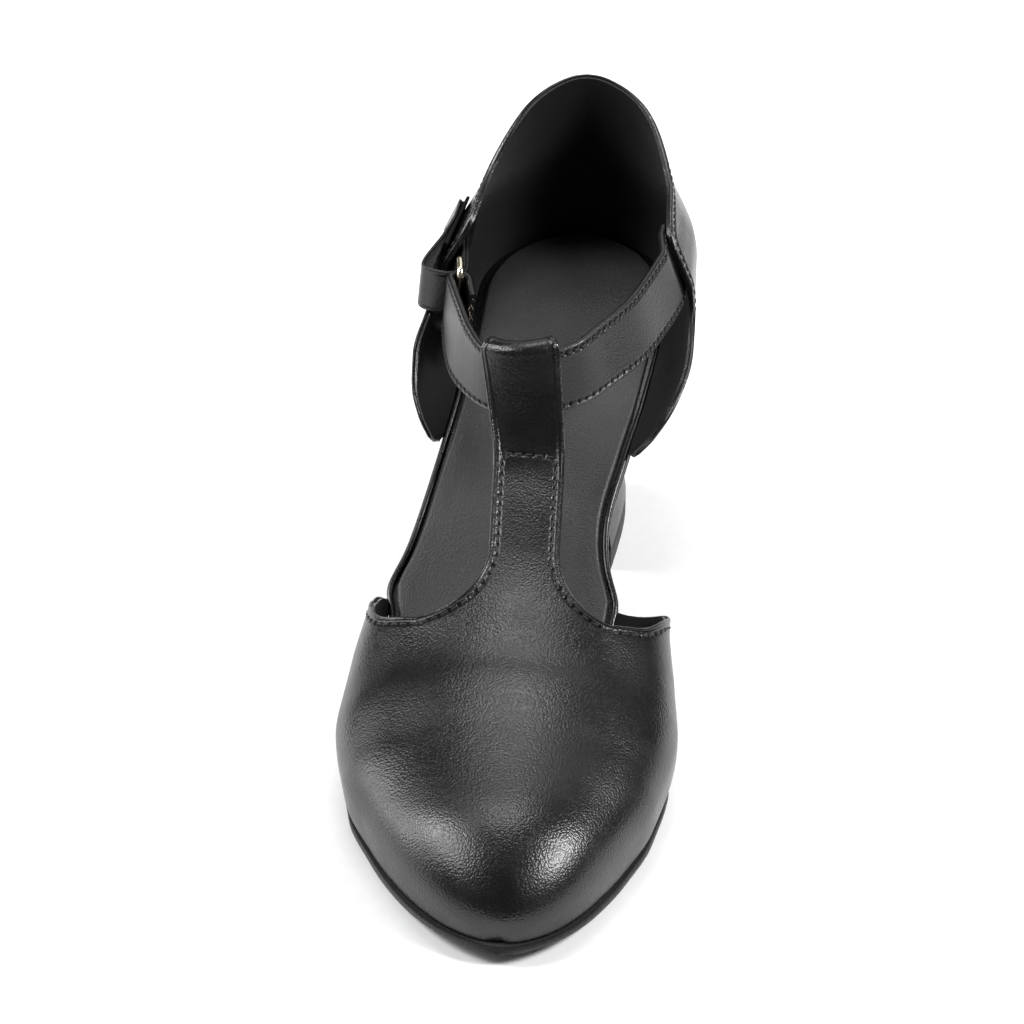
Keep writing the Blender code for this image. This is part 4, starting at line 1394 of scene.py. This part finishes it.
@dataclass(frozen=True)
class ClosureTab:
    """The hook-and-loop tab: leather outside, pile on the facing sides.

    The rows inside and outside the quarter are shares of the way round it and of the seat's
    height, and then how far the tab stands off; those round the ring are shares of its depth.
    """

    width: float = 13.0 * MM
    thickness: float = 1.4 * MM
    inside_rows: tuple[tuple[float, float], ...] = ((0.58, 1.200), (0.51, 1.188), (0.455, 1.178))
    turn_rows: tuple[tuple[float, float], ...] = (
        (0.00, -0.20), (0.34, -0.26), (0.78, -0.12), (0.97, 0.26),
    )
    outside_rows: tuple[tuple[float, ...], ...] = (
        (0.44, 1.190, 0.60), (0.51, 1.222, 0.15), (0.575, 1.255, 0.75),
    )
    facing_rows: tuple[tuple[float, float], ...] = ((0.425, 1.186), (0.595, 1.260))

    def build(self, shoe: Shoe, leather: Finish, pile: Finish) -> None:
        """Makes the leather layer and the pile layer that faces the quarter."""
        _, rear, long_way, back, inward = RING.frame()
        near = LAST.clearance + self.thickness / 2
        stations = [QUARTER.station(-1, row, self.width, -near) for row in self.inside_rows]
        stations.append((rear + inward * (RING.wire / 2 + near), long_way))
        for out, behind in self.turn_rows:
            spot = rear - inward * RING.depth * out + back * RING.depth * behind
            stations.append((spot, long_way))
        for row in self.outside_rows:
            stand = LAST.wall + near + row[2] * self.thickness
            stations.append(QUARTER.station(-1, row, self.width, stand))
        ups = smooth_path([s[1] for s in stations], 9)
        middle = level_frames(smooth_path([s[0] for s in stations], 9), ups)
        for name, level, inset, finish, slot, nodes in (
            ("closure_tab_leather", 0.20, 0.0, leather, "strap_leather", ("closure_tab",)),
            ("closure_tab_pile", -0.36, 0.8 * MM, pile, "hook_and_loop", ()),
        ):
            moved = [spot + out * level * self.thickness for spot, _, out in middle]
            frames = level_frames(moved, ups)
            width = self.width - inset
            bm = lay_band(frames, width, self.thickness * 0.60, 14)
            mark_edges(bm, along_band(frames, width / 2))
            shoe.piece(name, bm, (finish,), slot, nodes, sharp=60.0)
        low, high = self.facing_rows
        rows = [[a + (b - a) * i / 18 for a, b in zip(low, high)] for i in range(19)]
        facing = [QUARTER.station(-1, row, self.width, LAST.wall + 0.45 * MM) for row in rows]
        frames = level_frames([spot for spot, _ in facing], [up for _, up in facing])
        bm = lay_band(frames, self.width - 1.0 * MM, 0.9 * MM, 14)
        shoe.piece("facing_pile", bm, (pile,), "hook_and_loop", sharp=60.0)


TAB = ClosureTab()


# ---------------------------------------------------------------- the heel


@dataclass(frozen=True)
class Heel:
    """The leather-covered flared heel and its rubber top piece."""

    breast: float = 161.0 * MM
    base_front: float = 162.5 * MM
    base_length: float = 44.0 * MM
    base_width: float = 33.0 * MM
    seat_inset: float = 1.2 * MM
    front_inset: float = 3.2 * MM
    top_piece_height: float = 6.4 * MM
    bow: float = 2.6
    least: float = 0.06
    taper: float = 0.07
    taper_end: float = 0.45
    neck_depth: float = 1.6
    chamfer: float = 0.25 * MM
    steps: tuple[int, int, int, int] = (8, 52, 52, 8)
    rows: Table = Table(
        ("height", "growth", "waist"),
        (
            (0.00, 0.00, 0.000), (0.06, 0.02, 0.035), (0.14, 0.05, 0.085), (0.26, 0.11, 0.140),
            (0.40, 0.22, 0.150), (0.55, 0.40, 0.110), (0.70, 0.62, 0.055), (0.85, 0.83, 0.018),
            (1.00, 1.00, 0.000),
        ),
    )

    def rung(self, level: float, t: float) -> tuple[float, float, float, float]:
        """One rung across the heel.

        Args:
            level: the share of the heel's height.
            t: the share of the way from the breast to the back.

        Returns:
            The outer and the inner end, the distance from the toe and the height.
        """
        growth = self.rows.read("growth", level)
        waist = self.rows.read("waist", level)
        share = 0.35 * t + 0.65 * math.sin(math.pi / 2 * t)
        seat_back = LAST.length + LAST.wall - self.seat_inset - LAST.clearance
        seat_y = self.breast + (seat_back - self.breast) * share
        inset = self.seat_inset + self.front_inset * (1 - share) ** 2
        seat_out = LAST.edge(-1, seat_y, OUTSOLE.margin(seat_y) - inset)
        seat_in = LAST.edge(1, seat_y, OUTSOLE.margin(seat_y) - inset)
        base_y = self.base_front + self.base_length * share
        bow = 1 - math.cos(math.pi / 2 * t)
        back = max(math.sqrt(max(0.0, 1 - bow ** self.bow)), self.least)
        front = math.sin(math.pi / 2 * min(t / self.taper_end, 1.0))
        half = self.base_width / 2 * back * (1 - self.taper * (1 - front))
        middle = LAST.heel_centre * LAST.ball_width
        outer = middle - half + (seat_out - middle + half) * growth
        inner = middle + half + (seat_in - middle - half) * growth
        y = base_y + (seat_y - base_y) * growth
        base_middle = self.base_front + self.base_length / 2
        centre_y = base_middle + ((seat_back + self.breast) / 2 - base_middle) * growth
        outer += (middle - outer) * waist
        inner += (middle - inner) * waist
        y += (centre_y - y) * waist * self.neck_depth
        top = LAST.outsole_bottom(seat_y) - 1.5 * LAST.clearance
        base = self.top_piece_height + LAST.clearance
        return outer, inner, y, base + (top - base) * level

    def around(self, level: float) -> list[Vector]:
        """The outline at a level, once round from the breast's middle."""
        count = 40
        rungs = [self.rung(level, i / count) for i in range(count + 1)]
        outer = [Vector((r[0], r[2], r[3])) for r in rungs]
        inner = [Vector((r[1], r[2], r[3])) for r in rungs]
        front = (outer[0] + inner[0]) / 2
        back = (outer[-1] + inner[-1]) / 2
        points: list[Vector] = []
        parts = ([front, inner[0]], [*inner, back], [back, *reversed(outer)], [outer[0], front])
        for part, steps in zip(parts, self.steps):
            run = Run(part)
            points += [run.at(run.length * i / steps)[0] for i in range(steps)]
        return [*points, front]

    def build(self, shoe: Shoe, cover: Finish, rubber: Finish) -> None:
        """Raises the heel block and cuts the top piece under it."""
        count = sum(self.steps)
        levels = [0.0, 0.0, *[0.012 + 0.988 * i / 48 for i in range(48)], 1.0, 1.0]
        outlines = [self.around(level) for level in levels]
        last = len(levels) - 1

        def inwards(outline: Sequence[Vector], s: float, scale: float) -> Vector:
            """A point on an outline drawn towards its middle, its height kept."""
            middle = (outline[0] + outline[count // 2]) / 2
            spot = outline[round(s * count)]
            point = middle + (spot - middle) * scale
            point.z = spot.z
            return point

        def place(s: float, t: float) -> Vector:
            """A point on the block: s runs round it and t up it."""
            i = round(t * last)
            return inwards(outlines[i], s, 0.985 if i in (0, last) else 1.0)

        bm = sheet(count, last, place)
        close_ends(bm)
        shoe.piece("heel_cover", bm, (cover,), "heel_cover", ("heel",), sharp=55.0)
        heights = (0.0, self.chamfer, self.top_piece_height - self.chamfer, self.top_piece_height)

        def place_top(s: float, t: float) -> Vector:
            """A point on the top piece: s runs round it and t up it."""
            i = round(t * 3)
            point = inwards(outlines[0], s, 0.988 if i in (0, 3) else 1.0)
            point.z = heights[i]
            return point

        bm = sheet(count, 3, place_top)
        close_ends(bm)
        shoe.piece("top_piece_rubber", bm, (rubber,), "top_piece_rubber", ("top_piece",))


HEEL = Heel()


# ---------------------------------------------------------------- finishes


class Graph:
    """The nodes of one material."""

    def __init__(self, name: str) -> None:
        """Makes the material and keeps its nodes, its surface shader and its coordinates."""
        self.material = bpy.data.materials.new(name)
        self.material.use_nodes = True
        self.tree = self.material.node_tree
        self.surface = next(n for n in self.tree.nodes if n.type == "BSDF_PRINCIPLED")
        self.coordinates = self.node("ShaderNodeTexCoord").outputs["Object"]

    def node(self, kind: str, **inputs: object) -> bpy.types.Node:
        """Adds a node and fills the named inputs, with values or with other nodes' outputs."""
        made = self.tree.nodes.new(kind)
        for name, value in inputs.items():
            self.put(made, name.replace("_", " ").title(), value)
        return made

    def fill(self, socket: Socket, value: object) -> None:
        """Sets a socket, or links it to another node's output."""
        if isinstance(value, Socket):
            self.tree.links.new(value, socket)
        else:
            socket.default_value = value

    def put(self, node: bpy.types.Node, name: str, value: object) -> None:
        """Sets or links one named input of a node."""
        self.fill(node.inputs[name], value)

    def calculate(self, operation: str, *values: object) -> Socket:
        """The result of a math node on values or outputs."""
        made = self.tree.nodes.new("ShaderNodeMath")
        made.operation = operation
        for socket, value in zip(made.inputs, values):
            self.fill(socket, value)
        return made.outputs[0]

    def noise(self, scale: float, detail: float = 3.0, roughness: float = 0.55) -> Socket:
        """A noise on the piece's own coordinates, at a scale per metre."""
        inputs = {"vector": self.coordinates, "scale": scale, "detail": detail}
        return self.node("ShaderNodeTexNoise", roughness=roughness, **inputs).outputs["Fac"]

    def cells(self, scale: float, smoothness: float = 0.35, warp: float = 0.35) -> Socket:
        """Rounded cells on warped coordinates: high in their middles and low between them."""
        bend = self.node(
            "ShaderNodeTexNoise", vector=self.coordinates, scale=scale * 0.45, detail=2.0
        )
        move = self.node("ShaderNodeVectorMath")
        move.operation = "MULTIPLY_ADD"
        self.tree.links.new(bend.outputs["Color"], move.inputs[0])
        move.inputs[1].default_value = (warp / scale * 2,) * 3
        self.tree.links.new(self.coordinates, move.inputs[2])
        made = self.node("ShaderNodeTexVoronoi", vector=move.outputs[0], scale=scale)
        made.feature = "SMOOTH_F1"
        made.inputs["Smoothness"].default_value = smoothness
        return self.calculate("SUBTRACT", 1.0, made.outputs["Distance"])

    def spread(self, value: object, low: float, high: float, to_low: float = 0.0,
               to_high: float = 1.0) -> Socket:
        """A value's range mapped smoothly to another range, held at its ends."""
        made = self.node("ShaderNodeMapRange", value=value)
        made.interpolation_type = "SMOOTHSTEP"
        settings = {"From Min": low, "From Max": high, "To Min": to_low, "To Max": to_high}
        for name, setting in settings.items():
            made.inputs[name].default_value = setting
        return made.outputs["Result"]

    def attribute(self, name: str) -> Socket:
        """A number stored on the piece's points."""
        made = self.tree.nodes.new("ShaderNodeAttribute")
        made.attribute_name = name
        return made.outputs["Fac"]

    def tint(self, share: Socket, dark: Sequence[float], light: Sequence[float]) -> None:
        """Colours the surface between two colours."""
        made = self.tree.nodes.new("ShaderNodeMix")
        made.data_type = "RGBA"
        self.tree.links.new(share, made.inputs["Factor"])
        made.inputs[6].default_value = (*dark, 1.0)
        made.inputs[7].default_value = (*light, 1.0)
        self.tree.links.new(made.outputs[2], self.surface.inputs["Base Color"])

    def bump(self, height: Socket, depth: float, strength: float = 1.0,
             before: Socket | None = None) -> Socket:
        """Tilts the surface by a height, with the depth in metres; it can follow another bump."""
        made = self.node("ShaderNodeBump", height=height, distance=depth, strength=strength)
        if before is not None:
            self.put(made, "Normal", before)
        return made.outputs["Normal"]

    def finish(self, normal: Socket, **settings: object) -> Finish:
        """Links the normal and sets the surface's inputs."""
        self.put(self.surface, "Normal", normal)
        for name, value in settings.items():
            self.put(self.surface, name.replace("_", " ").title().replace("Ior", "IOR"), value)
        return self.material


class Grain(Enum):
    """How coarse a leather's grain is, in cells per metre."""

    PEBBLED = 1900.0
    FINE = 2200.0


@dataclass(frozen=True)
class Leather:
    """A black grained leather with a soft gloss, folded and sewn where its numbers say so."""

    name: str
    grain: Grain = Grain.PEBBLED
    dark: Colour = (0.0025, 0.0025, 0.0026)
    light: Colour = (0.0060, 0.0060, 0.0063)
    gloss: float = 0.42
    roughness: float = 0.29
    relief: float = 0.075 * MM
    coat: float = 0.10
    fold: float = 1.25
    pucker: float = 0.17 * MM
    sewn: bool = True

    def make(self) -> Finish:
        """Builds the material."""
        graph = Graph(self.name)
        graph.put(graph.surface, "Specular IOR Level", self.gloss)
        cells = graph.cells(self.grain.value)
        fine = graph.noise(5200.0, 4.0)
        broad = graph.noise(70.0, 3.0)
        height = graph.calculate("MULTIPLY_ADD", fine, 0.22, cells)
        normal = graph.bump(height, self.relief)
        waves = graph.noise(90.0, 2.0)
        normal = graph.bump(waves, 0.25 * MM, 0.35, normal)
        if self.sewn:
            rim = graph.attribute("rim")
            fold = graph.spread(rim, self.fold * 0.75, self.fold * 1.35, 1.0, 0.0)
            normal = graph.bump(fold, 0.28 * MM, 1.0, normal)
            seam = graph.attribute("seam")
            groove = graph.spread(seam, 0.0, 1.0)
            turns = graph.calculate("MULTIPLY", graph.attribute("run"), math.tau)
            wave = graph.calculate("COSINE", turns)
            near_hole = graph.spread(seam, 0.1, 1.0, 1.0, 0.0)
            hole = graph.calculate("MULTIPLY", graph.spread(wave, -0.2, 1.0), near_hole)
            pull = graph.calculate("MULTIPLY_ADD", hole, -1.0, groove)
            normal = graph.bump(pull, self.pucker, 1.0, normal)
            # Painted shade: the colour is darkened at each needle hole, and the gloss is lowered
            # there too, for the shade inside the holes.
            height = graph.calculate("MULTIPLY_ADD", hole, -0.5, height)
            lustre = graph.spread(hole, 0.1, 0.8, self.gloss, 0.02)
            graph.put(graph.surface, "Specular IOR Level", lustre)
        graph.tint(graph.spread(height, 0.55, 1.05), self.dark, self.light)
        rough = graph.spread(broad, 0.3, 0.7, self.roughness - 0.05, self.roughness + 0.06)
        return graph.finish(normal, roughness=rough, coat_weight=self.coat, coat_roughness=0.32)


@dataclass(frozen=True)
class Nap:
    """A fuzzy surface: suede, lining or the closure's pile."""

    name: str
    dark: Colour = (0.0015, 0.0015, 0.0016)
    light: Colour = (0.0060, 0.0060, 0.0063)
    scale: float = 2400.0
    relief: float = 0.16 * MM
    sheen: float = 0.35

    def make(self) -> Finish:
        """Builds the material."""
        graph = Graph(self.name)
        fibres = graph.noise(self.scale, 6.0, 0.7)
        patches = graph.noise(220.0, 3.0)
        normal = graph.bump(fibres, self.relief)
        tuft = graph.spread(fibres, 0.3, 0.7, 0.2, 1.0)
        patch = graph.spread(patches, 0.3, 0.7, 0.7, 1.0)
        graph.tint(graph.calculate("MULTIPLY", tuft, patch), self.dark, self.light)
        return graph.finish(normal, roughness=0.92, sheen_weight=self.sheen, sheen_roughness=0.45,
                            specular_ior_level=0.2)


@dataclass(frozen=True)
class Metal:
    """Polished pale gold plate with faint wear."""

    name: str

    def make(self) -> Finish:
        """Builds the material."""
        graph = Graph(self.name)
        wear = graph.noise(900.0, 5.0)
        graph.tint(graph.spread(wear, 0.35, 0.7), (0.80, 0.71, 0.52), (0.90, 0.83, 0.68))
        normal = graph.bump(graph.noise(1500.0, 3.0), 0.01 * MM)
        rough = graph.spread(wear, 0.3, 0.7, 0.14, 0.26)
        return graph.finish(normal, metallic=1.0, roughness=rough)


@dataclass(frozen=True)
class Speckled:
    """A finish of one tone with fine specks, for rubber, thread and the floor."""

    name: str
    scale: float
    detail: float
    dark: Colour
    light: Colour
    relief: float
    roughness: float
    sheen: float = 0.0
    gloss: float = 0.5
    least: float = 0.35

    def make(self) -> Finish:
        """Builds the material."""
        graph = Graph(self.name)
        specks = graph.noise(self.scale, self.detail)
        graph.tint(graph.spread(specks, self.least, 0.7), self.dark, self.light)
        normal = graph.bump(specks, self.relief)
        return graph.finish(normal, roughness=self.roughness, sheen_weight=self.sheen,
                            specular_ior_level=self.gloss)


def thread_finish(name: str, colour: Colour) -> Speckled:
    """Twisted sewing thread of a colour, lighter where a ply catches the light."""
    lighter = tuple(c * 2.4 for c in colour)
    return Speckled(name, 4200.0, 4.0, colour, lighter, 0.08 * MM, 0.60, sheen=0.06)


RUBBER = Speckled("top_piece_rubber", 1800.0, 5.0, (0.009,) * 3, (0.022,) * 3, 0.06 * MM, 0.62)
FLOOR = Speckled(
    "floor", 300.0, 2.0, (0.93,) * 3, (0.95,) * 3, 0.01 * MM, 0.9, gloss=0.1, least=0.3
)


# ---------------------------------------------------------------- the studio


def hang(name: str, data: bpy.types.ID, spot: Sequence[float],
         aim: Sequence[float]) -> Piece:
    """Puts a lamp or the camera at a spot, turned to look at a point."""
    made = link(name, data)
    made.location = spot
    made.rotation_euler = (Vector(aim) - Vector(spot)).to_track_quat("-Z", "Y").to_euler()
    return made


@dataclass(frozen=True)
class Softbox:
    """One soft lamp, aimed at a point."""

    name: str
    spot: tuple[float, float, float]
    size: tuple[float, float]
    power: float
    aim: tuple[float, float, float] = (0.0, 0.0, 0.03)

    def build(self) -> None:
        """Hangs the lamp."""
        lamp = bpy.data.lights.new(self.name, "AREA")
        lamp.shape = "RECTANGLE"
        lamp.size, lamp.size_y = self.size
        lamp.energy = self.power
        hang(self.name, lamp, self.spot, self.aim)


@dataclass(frozen=True)
class Studio:
    """The camera, the floor and the lamps."""

    camera_spot: tuple[float, float, float] = (0.0979, -0.7582, 0.5561)
    camera_aim: tuple[float, float, float] = (-0.00543, 0.0, 0.0473)
    lens: float = 129.0
    sky: float = 0.12
    lamps: tuple[Softbox, ...] = (
        Softbox("key", (-0.92, -0.16, 1.04), (0.46, 0.46), 13.0),
        Softbox("fill", (1.06, -0.14, 1.04), (0.44, 0.44), 25.0),
        Softbox("overhead", (-0.12, 0.38, 1.46), (0.60, 0.40), 6.8),
        Softbox("left", (-1.40, 0.10, 0.50), (0.6, 0.8), 10.5),
        Softbox("back", (0.10, 1.60, 1.40), (1.5, 1.5), 7.0),
    )

    def build(self, floor: Finish) -> None:
        """Sets the floor, the lamps, the surrounding light and the camera."""
        bm = bmesh.new()
        bmesh.ops.create_grid(bm, x_segments=8, y_segments=8, size=4.0)
        mesh = bpy.data.meshes.new("floor")
        bm.to_mesh(mesh)
        bm.free()
        mesh.materials.append(floor)
        link("floor", mesh)
        for lamp in self.lamps:
            lamp.build()
        bpy.context.scene.view_settings.view_transform = "Standard"
        world = bpy.data.worlds.new("studio")
        bpy.context.scene.world = world
        world.use_nodes = True
        background = world.node_tree.nodes["Background"]
        background.inputs["Color"].default_value = (0.95, 0.97, 1.0, 1.0)
        background.inputs["Strength"].default_value = self.sky
        camera = bpy.data.cameras.new("camera")
        camera.lens = self.lens
        camera.sensor_width = 36.0
        camera.clip_start = 0.05
        made = hang("camera", camera, self.camera_spot, self.camera_aim)
        bpy.context.scene.camera = made


# ---------------------------------------------------------------- the whole


def main() -> None:
    """Builds the shoe piece by piece, then the studio."""
    shoe = Shoe(model_shift(HEEL.base_front))
    upper = Leather("upper_leather").make()
    quarter = Leather("quarter_leather").make()
    strap = Leather("strap_leather", Grain.FINE, relief=0.07 * MM, roughness=0.33,
                    pucker=0.20 * MM).make()
    wrap = Leather("wrapped_edge", Grain.FINE, relief=0.04 * MM, sewn=False).make()
    cover = Leather("insole_cover", Grain.FINE, dark=(0.019, 0.019, 0.0196),
                    light=(0.031, 0.031, 0.0320), relief=0.09 * MM, roughness=0.46, coat=0.0,
                    sewn=False).make()
    heel = Leather("heel_cover", Grain.FINE, relief=0.05 * MM, sewn=False).make()
    lining = Nap("lining_suede", sheen=0.06).make()
    suede = Nap("sole_suede", scale=1900.0, relief=0.3 * MM, sheen=0.25).make()
    pile = Nap("closure_pile", scale=1500.0, relief=0.5 * MM, sheen=0.12).make()
    thread = thread_finish("thread", (0.005, 0.005, 0.0053)).make()
    OUTSOLE.build(shoe, suede)
    INSOLE.build(shoe, wrap, cover)
    VAMP.build(shoe, upper, lining, thread)
    QUARTER.build(shoe, quarter, lining, thread)
    STRAP.build(shoe, strap, thread)
    RING.build(shoe, Metal("ring_metal").make())
    TAB.build(shoe, strap, pile)
    HEEL.build(shoe, heel, RUBBER.make())
    Studio().build(FLOOR.make())
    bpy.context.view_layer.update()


if __name__ == "__main__":
    main()
